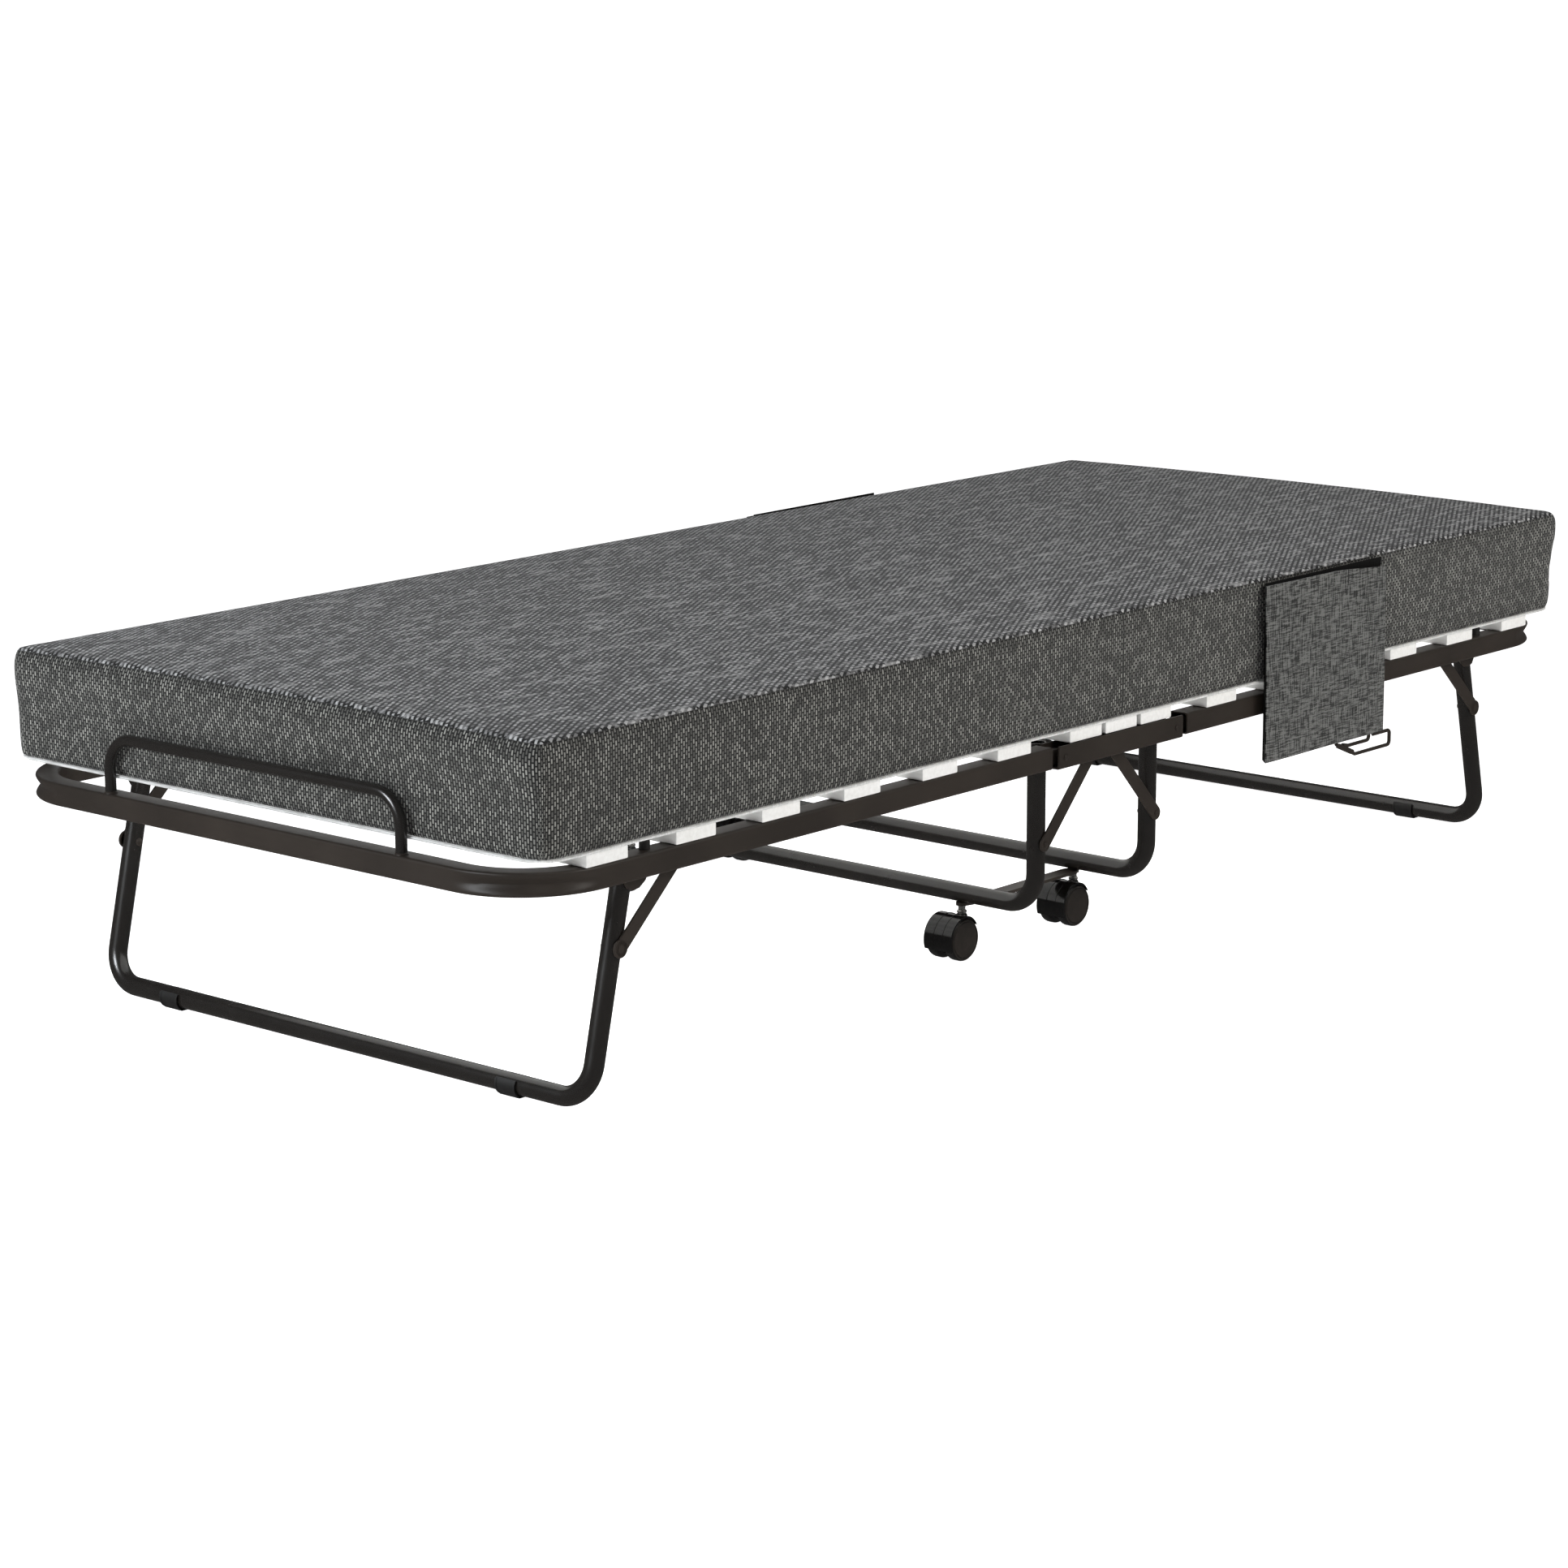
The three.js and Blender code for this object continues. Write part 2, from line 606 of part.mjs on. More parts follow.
addSlats();
addMattress();
addCasters();
for (const [endName, end] of Object.entries(ENDS)) {
  addRail(end, endName);
  addCenterLeg(end, endName);
  addEndLeg(end, endName);
  addHoop(end, endName);
  for (const [sideName, side] of Object.entries(SIDES)) {
    addCenterBrace(end, endName, side, sideName);
    addLegBracket(end, endName, side, sideName);
    addLegBrace(end, endName, side, sideName);
    addFootClip(end, endName, side, sideName);
  }
}
for (const [name, side] of Object.entries(SIDES)) {
  addChannel(side, name);
  addCasterStrip(side, name);
  addPocket(side, name);
  addPocketWire(side, name);
}

export default bed;
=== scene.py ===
"""Rollaway bed: looks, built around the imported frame. Metres; +X foot to head, +Y across, +Z up."""

import math

import bmesh
import bpy
import numpy as np
from mathutils import Matrix, Vector


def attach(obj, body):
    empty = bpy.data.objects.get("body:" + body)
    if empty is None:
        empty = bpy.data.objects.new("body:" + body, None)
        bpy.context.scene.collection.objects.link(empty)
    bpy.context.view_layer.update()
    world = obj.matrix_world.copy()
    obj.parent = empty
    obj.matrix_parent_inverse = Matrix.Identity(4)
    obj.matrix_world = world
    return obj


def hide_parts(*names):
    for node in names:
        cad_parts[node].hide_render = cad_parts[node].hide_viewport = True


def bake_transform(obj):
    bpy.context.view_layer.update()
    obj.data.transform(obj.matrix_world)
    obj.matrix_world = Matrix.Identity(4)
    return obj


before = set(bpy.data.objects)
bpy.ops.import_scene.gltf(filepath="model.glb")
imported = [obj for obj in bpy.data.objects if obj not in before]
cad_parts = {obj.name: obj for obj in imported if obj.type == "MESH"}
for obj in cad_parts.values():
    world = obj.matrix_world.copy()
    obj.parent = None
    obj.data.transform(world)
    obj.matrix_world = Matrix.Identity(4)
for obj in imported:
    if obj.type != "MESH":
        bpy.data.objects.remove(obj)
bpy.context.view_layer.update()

MM = 0.001
ENDS = {"foot": -1, "head": 1}
SIDES = {"near": -1, "far": 1}

# ---- driving dimensions of the frame, in millimetres ----
HALF_LENGTH = 950
HALF_WIDTH = 400
RAIL_SIZE = 25
RAIL_TOP = 264
RAIL_MIDDLE = HALF_WIDTH - RAIL_SIZE / 2
RAIL_MIDDLE_Z = RAIL_TOP - RAIL_SIZE / 2
RAIL_BEND = 91.5
RAIL_END_X = 127
GROOVE_DEPTH = 5.5
HINGE = (105, 250)
CHANNEL_HALF_LENGTH = 117
SLAT_LOW, SLAT_HIGH = 264.3, 278
TUBE = 10.5
TUBE_BEND = 38
POST_Y = 361
CROSSBAR_Z = 73.8
LEG_PIVOT = (776.5, 247)
LEG_SPLAY = math.radians(13)
LEG_LENGTH = 240.5
PLATE_INNER, PLATE_OUTER = 371.9, 374.7
LUG_DISTANCE = 84.2
STRIP_Y = 256.5
WHEEL_RADIUS = 24.6
WHEEL_HALF_TRACK = 19.6
AXLE_Z = 24.7
CASTER_TRAIL = 17.5
HOOP_TUBE = 6
HOOP_TOP = 324
MATTRESS_END = 935.6
MATTRESS_Y = (-405, 392)
MATTRESS_LOW, MATTRESS_TOP = 278.3, 402.5
MATTRESS_TILT = 2  # the top is this much lower at the foot end, and higher at the head end
MATTRESS_CROWN = 4  # the middle of the top stands this much above its edges
MATTRESS_FLARE = {"foot": 6, "head": 11}  # it leans out above the hoops
CORNER_LOW, CORNER_HIGH = 13, 11
PIPING_CORNER = 33
FOAM_SWELL = 2
SEAM_HEIGHT = MATTRESS_TOP - 5.5
BASE_CLOTH_TOP = 280.3
COVER_VOXEL = 10
PIPING_RADIUS = 1.8
POCKET_PLANE = 405.7
POCKET_X = (264, 515)
POCKET_Z = (185, 394)
POCKET_SHIFT = {"near": 0, "far": 23}


# ---- node materials ----
def node(tree, kind, inputs=None, **settings):
    made = tree.nodes.new("ShaderNode" + kind)
    for key, value in settings.items():
        setattr(made, key, value)
    for key, value in (inputs or {}).items():
        if isinstance(value, bpy.types.NodeSocket):
            tree.links.new(value, made.inputs[key])
        else:
            made.inputs[key].default_value = value
    return made


def math_node(tree, operation, a, b=0.0, clamp=False):
    made = node(tree, "Math", {0: a, 1: b}, operation=operation, use_clamp=clamp)
    return made.outputs[0]


def ramp(tree, value, stops):
    made = node(tree, "ValToRGB", {"Fac": value})
    elements = made.color_ramp.elements
    for i, (position, color) in enumerate(stops):
        element = elements[i] if i < 2 else elements.new(position)
        element.position = position
        element.color = (*color, 1) if len(color) == 3 else color
    return made.outputs["Color"]


def grey(level):
    return (level, level, level)


def mix(tree, share, a, b, blend="MIX"):
    made = tree.nodes.new("ShaderNodeMix")
    made.data_type = "RGBA"
    made.blend_type = blend
    for key, value in ((0, share), (6, a), (7, b)):
        if isinstance(value, bpy.types.NodeSocket):
            tree.links.new(value, made.inputs[key])
        elif key:
            made.inputs[key].default_value = (*value, 1)
        else:
            made.inputs[key].default_value = value
    return made.outputs[2]


def start_material(name):
    material = bpy.data.materials.new(name)
    material.use_nodes = True
    tree = material.node_tree
    return material, tree, tree.nodes["Principled BSDF"]


def link(tree, output, socket):
    tree.links.new(output, socket)


def mapped(tree, vector, scale=(1, 1, 1), rotation=(0, 0, 0)):
    return node(tree, "Mapping", {"Vector": vector, "Scale": scale, "Rotation": rotation}).outputs[0]


def object_coordinates(tree, scale=(1, 1, 1)):
    return mapped(tree, node(tree, "TexCoord").outputs["Object"], scale)


def noise(tree, vector, scale, detail=2.0, roughness=0.5):
    inputs = {"Vector": vector, "Scale": scale, "Detail": detail, "Roughness": roughness}
    return node(tree, "TexNoise", inputs).outputs[0]


def bump(tree, height, strength, distance, normal=None):
    inputs = {"Height": height, "Strength": strength, "Distance": distance}
    if normal is not None:
        inputs["Normal"] = normal
    return node(tree, "Bump", inputs).outputs[0]


def powder_coat(name, dark, light, roughness, gleam, pebbles):
    """Satin black paint with a fine pebbled skin, faint dust and slightly polished patches."""
    material, tree, shader = start_material(name)
    here = object_coordinates(tree)
    patches = noise(tree, here, 9.0, 4.0)
    link(tree, ramp(tree, patches, [(0.35, dark), (0.7, light)]), shader.inputs["Base Color"])
    fine = noise(tree, here, 1400.0, 2.0)
    polish = noise(tree, here, 60.0, 3.0)
    spread = ramp(tree, polish, [(0.3, grey(roughness - 0.015)), (0.75, grey(roughness + 0.03))])
    link(tree, spread, shader.inputs["Roughness"])
    link(tree, bump(tree, fine, pebbles, 0.0004), shader.inputs["Normal"])
    shader.inputs["Specular IOR Level"].default_value = gleam
    return material


def white_slat():
    """White lacquer over bent laminated wood: faint grain along the slat, slightly yellowed patches."""
    material, tree, shader = start_material("white_lacquer")
    along = object_coordinates(tree, (220.0, 7.0, 220.0))
    grain = noise(tree, along, 1.0, 5.0, 0.6)
    patches = noise(tree, object_coordinates(tree), 5.0, 3.0)
    base = ramp(tree, grain, [(0.3, (0.74, 0.735, 0.72)), (0.65, (0.83, 0.83, 0.82))])
    tint = ramp(tree, patches, [(0.35, (0.97, 0.965, 0.95)), (0.65, (1, 1, 1))])
    link(tree, mix(tree, 1.0, base, tint, "MULTIPLY"), shader.inputs["Base Color"])
    link(tree, ramp(tree, grain, [(0.2, grey(0.42)), (0.8, grey(0.55))]), shader.inputs["Roughness"])
    link(tree, bump(tree, grain, 0.08, 0.0006), shader.inputs["Normal"])
    return material


def gloss_plastic(name, color, roughness, orange_peel=0.04):
    """Moulded black plastic with light scuffs and a faint orange peel."""
    material, tree, shader = start_material(name)
    here = object_coordinates(tree)
    scuffs = noise(tree, object_coordinates(tree, (60.0, 300.0, 90.0)), 3.0, 6.0, 0.7)
    worn = tuple(c * 1.7 + 0.004 for c in color)
    link(tree, ramp(tree, scuffs, [(0.45, color), (0.75, worn)]), shader.inputs["Base Color"])
    dulled = ramp(tree, scuffs, [(0.4, grey(roughness)), (0.8, grey(roughness + 0.2))])
    link(tree, dulled, shader.inputs["Roughness"])
    link(tree, bump(tree, noise(tree, here, 500.0, 1.0), orange_peel, 0.0004), shader.inputs["Normal"])
    return material


def bright_steel():
    """Zinc-plated stem and nuts."""
    material, tree, shader = start_material("plated_steel")
    here = object_coordinates(tree, (1, 1, 6))
    spots = noise(tree, here, 260.0, 4.0)
    plating = ramp(tree, spots, [(0.3, (0.52, 0.51, 0.49)), (0.7, (0.78, 0.77, 0.74))])
    link(tree, plating, shader.inputs["Base Color"])
    link(tree, ramp(tree, spots, [(0.3, grey(0.2)), (0.8, grey(0.38))]), shader.inputs["Roughness"])
    link(tree, bump(tree, spots, 0.1, 0.0002), shader.inputs["Normal"])
    shader.inputs["Metallic"].default_value = 1.0
    return material


def woven_dashes(tree, vector, length, pitch, gap):
    """Short threads in staggered rows: each thread's own random lightness, and the mask between them."""
    inputs = {
        "Vector": vector,
        "Color1": (0, 0, 0, 1),
        "Color2": (1, 1, 1, 1),
        "Mortar": (0, 0, 0, 1),
        "Scale": 1.0,
        "Mortar Size": gap,
        "Mortar Smooth": 0.35,
        "Bias": 0.0,
        "Brick Width": length,
        "Row Height": pitch,
    }
    made = node(tree, "TexBrick", inputs, offset=0.5, offset_frequency=2, squash=1.0, squash_frequency=2)
    return made.outputs["Color"], made.outputs["Fac"]


def mattress_cover():
    """Charcoal slub weave on top, a finer upright weave round the side, and a pale base cloth."""
    material, tree, shader = start_material("mattress_cover")
    rest = node(tree, "Attribute", attribute_name="rest").outputs["Vector"]
    around = node(tree, "Attribute", attribute_name="around").outputs["Fac"]
    parts = node(tree, "SeparateXYZ", {"Vector": rest})
    height = parts.outputs["Z"]
    wobble = node(tree, "TexNoise", {"Vector": rest, "Scale": 26.0, "Detail": 2.0}).outputs["Color"]
    shifted = node(tree, "VectorMath", {0: wobble, 1: (0.5, 0.5, 0.5)}, operation="SUBTRACT").outputs[0]
    small = node(tree, "VectorMath", {0: shifted, "Scale": 0.001}, operation="SCALE").outputs[0]

    # top: short threads in level rows, turned 30 degrees off the bed's length
    loose = node(tree, "VectorMath", {0: rest, 1: small}, operation="ADD").outputs[0]
    turned = mapped(tree, loose, rotation=(0, 0, -math.radians(30)))
    tint, between = woven_dashes(tree, turned, 0.0108, 0.0058, 0.0017)
    thread = math_node(tree, "SUBTRACT", 1.0, between)
    skewed = math_node(tree, "POWER", tint, 1.1)
    varied = math_node(tree, "ADD", math_node(tree, "MULTIPLY", skewed, 0.74), 0.22)
    top_light = math_node(tree, "MULTIPLY", varied, thread)
    slubs = noise(tree, mapped(tree, rest, (30, 150, 1)), 1.0, 3.0, 0.6)
    slub_light = ramp(tree, slubs, [(0.52, grey(0)), (0.66, grey(0.52))])
    top_mottle = noise(tree, rest, 34.0, 4.0, 0.7)
    top_sum = math_node(tree, "ADD", top_light, slub_light)
    top_color = ramp(tree, top_sum, [(0.0, (0.004, 0.004, 0.0045)), (0.92, (0.60, 0.60, 0.605))])

    # side: finer upright threads
    side_vector = node(tree, "CombineXYZ", {"X": height, "Y": around, "Z": 0.0}).outputs[0]
    side_loose = node(tree, "VectorMath", {0: side_vector, 1: small}, operation="ADD").outputs[0]
    side_tint, side_between = woven_dashes(tree, side_loose, 0.0066, 0.0036, 0.001)
    side_thread = math_node(tree, "SUBTRACT", 1.0, side_between)
    side_skewed = math_node(tree, "POWER", side_tint, 1.6)
    side_varied = math_node(tree, "ADD", math_node(tree, "MULTIPLY", side_skewed, 0.80), 0.20)
    side_light = math_node(tree, "MULTIPLY", side_varied, side_thread)
    side_color = ramp(tree, side_light, [(0.0, (0.007, 0.007, 0.0064)), (0.9, (0.285, 0.283, 0.262))])

    # the two panels meet in a seam along the top edge
    past_seam = math_node(tree, "SUBTRACT", height, SEAM_HEIGHT * MM)
    above = math_node(tree, "MULTIPLY", past_seam, 1600.0, clamp=True)
    mottle = ramp(tree, top_mottle, [(0.3, grey(0.88)), (0.7, grey(1.12))])
    cloth = mix(tree, above, side_color, top_color)
    cloth = mix(tree, 1.0, cloth, mottle, "MULTIPLY")
    stitched = math_node(tree, "LESS_THAN", math_node(tree, "ABSOLUTE", past_seam), 0.0006)
    cloth = mix(tree, math_node(tree, "MULTIPLY", stitched, 0.5), cloth, (0.014, 0.014, 0.014))

    # pale base cloth
    below = math_node(tree, "LESS_THAN", height, BASE_CLOTH_TOP * MM)
    fine_vector = mapped(tree, rest, (700, 700, 700))
    weave = node(tree, "TexVoronoi", {"Vector": fine_vector, "Scale": 1.0}).outputs["Distance"]
    pale = ramp(tree, weave, [(0.0, (0.80, 0.80, 0.79)), (0.9, (0.62, 0.62, 0.61))])
    link(tree, mix(tree, below, cloth, pale), shader.inputs["Base Color"])

    fibres = noise(tree, rest, 1800.0, 2.0)
    side_height = math_node(tree, "ADD", side_thread, math_node(tree, "MULTIPLY", side_tint, 0.5))
    top_height = math_node(tree, "ADD", thread, math_node(tree, "MULTIPLY", tint, 0.5))
    chosen = mix(tree, above, side_height, top_height)
    total = math_node(tree, "ADD", chosen, math_node(tree, "MULTIPLY", fibres, 0.5))
    link(tree, bump(tree, total, 0.55, 0.0009), shader.inputs["Normal"])
    link(tree, ramp(tree, fibres, [(0.3, grey(0.82)), (0.7, grey(0.98))]), shader.inputs["Roughness"])
    shader.inputs["Sheen Weight"].default_value = 0.18
    shader.inputs["Sheen Roughness"].default_value = 0.5
    shader.inputs["Specular IOR Level"].default_value = 0.25
    return material


def linen(name, dark, light, contrast=1.0, sheen=0.15):
    """Plain weave of uneven grey threads, upright and level, for the side pockets."""
    material, tree, shader = start_material(name)
    level = noise(tree, object_coordinates(tree, (48.0, 48.0, 560.0)), 1.0, 4.0, 0.65)
    upright = noise(tree, object_coordinates(tree, (560.0, 48.0, 48.0)), 1.0, 4.0, 0.65)
    both = math_node(tree, "ADD", level, upright)
    uneven = math_node(tree, "MULTIPLY", math_node(tree, "SUBTRACT", both, 1.0), 4.5 * contrast)
    spread = math_node(tree, "ADD", uneven, 0.5, clamp=True)
    link(tree, ramp(tree, spread, [(0.0, dark), (1.0, light)]), shader.inputs["Base Color"])
    here = object_coordinates(tree)
    axes = node(tree, "SeparateXYZ", {"Vector": here})
    waves = []
    for axis in ("X", "Z"):
        angle = math_node(tree, "MULTIPLY", axes.outputs[axis], 2 * math.pi / 0.0013)
        waves.append(math_node(tree, "SINE", angle))
    crossed = math_node(tree, "MULTIPLY", waves[0], waves[1])
    height = math_node(tree, "ADD", math_node(tree, "MULTIPLY", crossed, 0.4), both)
    link(tree, bump(tree, height, 0.5, 0.0006), shader.inputs["Normal"])
    link(tree, ramp(tree, spread, [(0.0, grey(0.85)), (1.0, grey(0.98))]), shader.inputs["Roughness"])
    shader.inputs["Sheen Weight"].default_value = sheen
    shader.inputs["Specular IOR Level"].default_value = 0.25
    return material


def floor_finish():
    material, tree, shader = start_material("floor")
    here = object_coordinates(tree)
    paper = ramp(tree, noise(tree, here, 2.0, 3.0), [(0.3, grey(0.92)), (0.7, grey(0.94))])
    link(tree, paper, shader.inputs["Base Color"])
    shader.inputs["Roughness"].default_value = 0.9
    shader.inputs["Specular IOR Level"].default_value = 0.1
    shader.inputs["Emission Color"].default_value = (1, 1, 1, 1)
    shader.inputs["Emission Strength"].default_value = 1.0
    return material


STEEL = powder_coat("black_powder_coat", (0.025, 0.02, 0.0165), (0.034, 0.027, 0.022), 0.4, 0.25, 0.1)
TUBE_DARK, TUBE_LIGHT = (0.0095, 0.008, 0.0068), (0.012, 0.0102, 0.0088)
TUBE_STEEL = powder_coat("black_tube_coat", TUBE_DARK, TUBE_LIGHT, 0.25, 0.8, 0.02)
LACQUER = white_slat()
CASTER_PLASTIC = gloss_plastic("caster_plastic", (0.0022, 0.002, 0.0019), 0.1)
DISC_PLASTIC = gloss_plastic("caster_disc", (0.016, 0.0125, 0.01), 0.3, 0.08)
TREAD_PLASTIC = gloss_plastic("caster_tread", (0.005, 0.0045, 0.004), 0.4, 0.2)
FOOT_PLASTIC = gloss_plastic("foot_clip_plastic", (0.0075, 0.007, 0.0066), 0.5, 0.2)
PLATED = bright_steel()
COVER = mattress_cover()
PIPING = linen("pale_piping", (0.46, 0.46, 0.45), (0.70, 0.70, 0.69), 0.6)
POCKET_FRONT = linen("pocket_linen", (0.006, 0.006, 0.006), (0.138, 0.140, 0.134), 1.7)
# near-black cloth for the pocket backs and gussets; on the back panels its darkness is also painted shade of
# the narrow gap between pocket front and mattress
POCKET_BLACK_AND_SHADE = linen("pocket_black_and_shade", (0.002, 0.002, 0.002), (0.005, 0.005, 0.005), 1.0, 0.0)


# ---- meshes ----
def new_object(name, data):
    made = bpy.data.objects.new(name, data)
    bpy.context.scene.collection.objects.link(made)
    return made


def smoothstep(value):
    value = min(max(value, 0.0), 1.0)
    return value * value * (3 - 2 * value)


def join(parts):
    """Several (points, faces) shells as one."""
    points, faces = [], []
    for part_points, part_faces in parts:
        base = len(points)
        points.extend(part_points)
        faces.extend([tuple(i + base for i in face) for face in part_faces])
    return points, faces


def piece(name, shell, material, body=None, stands_for=(), angle=32, bevel=0.0, segments=2):
    """A named object from a shell in millimetres, with rounded edges if bevel is given."""
    points, faces = shell
    mesh = bpy.data.meshes.new(name)
    mesh.from_pydata([tuple(c * MM for c in p) for p in points], [], faces)
    work = bmesh.new()
    work.from_mesh(mesh)
    bmesh.ops.remove_doubles(work, verts=work.verts, dist=1e-7)
    bmesh.ops.recalc_face_normals(work, faces=work.faces)
    work.to_mesh(mesh)
    work.free()
    mesh.polygons.foreach_set("use_smooth", [True] * len(mesh.polygons))
    mesh.set_sharp_from_angle(angle=math.radians(angle))
    obj = new_object(name, mesh)
    mesh.materials.append(material)
    if bevel:
        edge = obj.modifiers.new("edges", "BEVEL")
        edge.width = bevel * MM
        edge.segments = segments
        edge.limit_method = "ANGLE"
        edge.angle_limit = math.radians(40)
        edge.harden_normals = True
    if body:
        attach(obj, body)
    if stands_for:
        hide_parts(*stands_for)
    return obj


def bent_path(corners, radius, steps):
    """Stations (point, tangent, share of the way round a bend) along straight runs with rounded corners."""
    points = [Vector(c) for c in corners]
    stations = [(points[0], (points[1] - points[0]).normalized(), 0.0)]
    for i in range(1, len(points) - 1):
        before = (points[i] - points[i - 1]).normalized()
        after = (points[i + 1] - points[i]).normalized()
        turn = before.angle(after)
        start = points[i] - before * radius * math.tan(turn / 2)
        inward = (after - before * after.dot(before)).normalized()
        for k in range(steps + 1):
            angle = turn * k / steps
            point = start + before * radius * math.sin(angle) + inward * radius * (1 - math.cos(angle))
            tangent = before * math.cos(angle) + inward * math.sin(angle)
            stations.append((point, tangent, k / steps))
    stations.append((points[-1], (points[-1] - points[-2]).normalized(), 0.0))
    return stations


def sweep(stations, normal, profile_at, wall=0.0, depth=20.0):
    """A profile carried along a flat path. Its first axis is tangent x normal and its second is normal.
    With a wall, the ends are open tube, closed further in."""
    normal = Vector(normal)
    rings = []

    def ring(point, tangent, profile, shrink=1.0):
        side = tangent.cross(normal).normalized()
        return [point + side * a * shrink + normal * b * shrink for a, b in profile]

    size = max(abs(a) for a, _ in profile_at(0.0))
    inner = 1 - wall / size
    first, last = stations[0], stations[-1]
    if wall:
        rings.append(ring(first[0] + first[1] * depth, first[1], profile_at(0.0), inner))
        rings.append(ring(first[0], first[1], profile_at(0.0), inner))
    for point, tangent, share in stations:
        rings.append(ring(point, tangent, profile_at(share)))
    if wall:
        rings.append(ring(last[0], last[1], profile_at(0.0), inner))
        rings.append(ring(last[0] - last[1] * depth, last[1], profile_at(0.0), inner))
    return loft(rings)


def loft(rings):
    """Faces between rings of equal length, closed at both ends."""
    count = len(rings[0])
    points = [p for r in rings for p in r]
    faces = [tuple(range(count))[::-1], tuple((len(rings) - 1) * count + i for i in range(count))]
    for k in range(len(rings) - 1):
        for i in range(count):
            j = (i + 1) % count
            faces.append((k * count + i, k * count + j, (k + 1) * count + j, (k + 1) * count + i))
    return points, faces


def circle(radius, sides):
    angles = [2 * math.pi * i / sides for i in range(sides)]
    return [(radius * math.cos(a), radius * math.sin(a)) for a in angles]


def bent_tube(corners, normal, radius, bend, sides=28, steps=14, wall=1.5):
    profile = circle(radius, sides)
    return sweep(bent_path(corners, bend, steps), normal, lambda share: profile, wall)


def extrude(outline, place, low, high):
    """An outline carried from low to high; place turns (a, b, level) into a point."""
    return loft([[place(a, b, level) for a, b in outline] for level in (low, high)])


def along_x(a, b, level):
    return Vector((level, a, b))


def along_y(a, b, level):
    return Vector((a, level, b))


def along_z(a, b, level):
    return Vector((a, b, level))


def rounded(left, right, low, high, radius, steps=4):
    corners = [
        (right - radius, low + radius, -0.5),
        (right - radius, high - radius, 0),
        (left + radius, high - radius, 0.5),
        (left + radius, low + radius, 1),
    ]
    points = []
    for x, y, start in corners:
        for i in range(steps + 1):
            angle = (start + 0.5 * i / steps) * math.pi
            points.append((x + radius * math.cos(angle), y + radius * math.sin(angle)))
    return points


def bar(low, high, width, steps=12):
    """A flat bar with round ends between two points."""
    along = math.atan2(high[1] - low[1], high[0] - low[0])
    points = []
    for (x, z), start in ((high, along - math.pi / 2), (low, along + math.pi / 2)):
        for i in range(steps + 1):
            angle = start + i / steps * math.pi
            points.append((x + width / 2 * math.cos(angle), z + width / 2 * math.sin(angle)))
    return points


def lathe(profile, origin, axis, sides=32):
    """A turned solid. The profile gives (radius, distance along the axis), from axis to axis."""
    axis = Vector(axis).normalized()
    across = axis.orthogonal().normalized()
    other = axis.cross(across)
    origin = Vector(origin)
    points, faces, rings = [], [], []
    for radius, level in profile:
        start = len(points)
        if radius < 1e-6:
            points.append(origin + axis * level)
            rings.append([start])
            continue
        for a, b in circle(radius, sides):
            points.append(origin + axis * level + across * a + other * b)
        rings.append(list(range(start, start + sides)))
    for one, two in zip(rings, rings[1:]):
        for i in range(sides):
            j = (i + 1) % sides
            face = [one[i % len(one)], one[j % len(one)], two[j % len(two)], two[i % len(two)]]
            faces.append(tuple(dict.fromkeys(face)))
    return points, [f for f in faces if len(f) > 2]


def rod(radius, length, origin, axis, sides=24):
    return lathe([(0, 0), (radius, 0), (radius, length), (0, length)], origin, axis, sides)


def rivet(origin, axis, radius, height, sides=28):
    """A domed head on a thin washer."""
    profile = [(0, -1), (radius * 1.25, -1), (radius * 1.25, 0.5), (radius * 1.18, 0.7), (radius, 0.7)]
    for i in range(1, 7):
        angle = i / 6 * math.pi / 2
        profile.append((radius * math.cos(angle), 0.7 + (height - 0.7) * math.sin(angle)))
    profile[-1] = (0, height)
    return lathe(profile, origin, axis, sides)


def weld_bead(origin, axis, radius, size=1.6, sides=28):
    """A small fillet round the foot of a tube."""
    profile = [(radius - 1, -0.3), (radius + size, -0.3), (radius + size * 0.75, size * 0.35)]
    profile += [(radius + size * 0.3, size * 0.8), (radius - 0.2, size * 1.25), (radius - 1, size * 1.25)]
    return lathe(profile + [profile[0]], origin, axis, sides)


# ---- rails ----
def rail_profile(share):
    """Square tube; in a bend its outer wall is pressed in to a wide V."""
    half = RAIL_SIZE / 2
    corner = 3.0
    depth = GROOVE_DEPTH * math.sin(math.pi * share) ** 0.7 if 0 < share < 1 else 0.0
    reach = half - corner
    points = []
    for i in range(13):
        level = -reach + 2 * reach * i / 12
        rise = 1 - abs(level) / reach
        smooth = rise - 0.06 * math.sin(2 * math.pi * rise)
        points.append((half - depth * smooth, level))
    rounds = ((reach, reach, 0), (-reach, reach, 0.5), (-reach, -reach, 1), (reach, -reach, 1.5))
    for cx, cy, start in rounds:
        for i in range(1, 5):
            angle = (start + i / 8) * math.pi
            points.append((cx + corner * math.cos(angle), cy + corner * math.sin(angle)))
    return points[:-1]


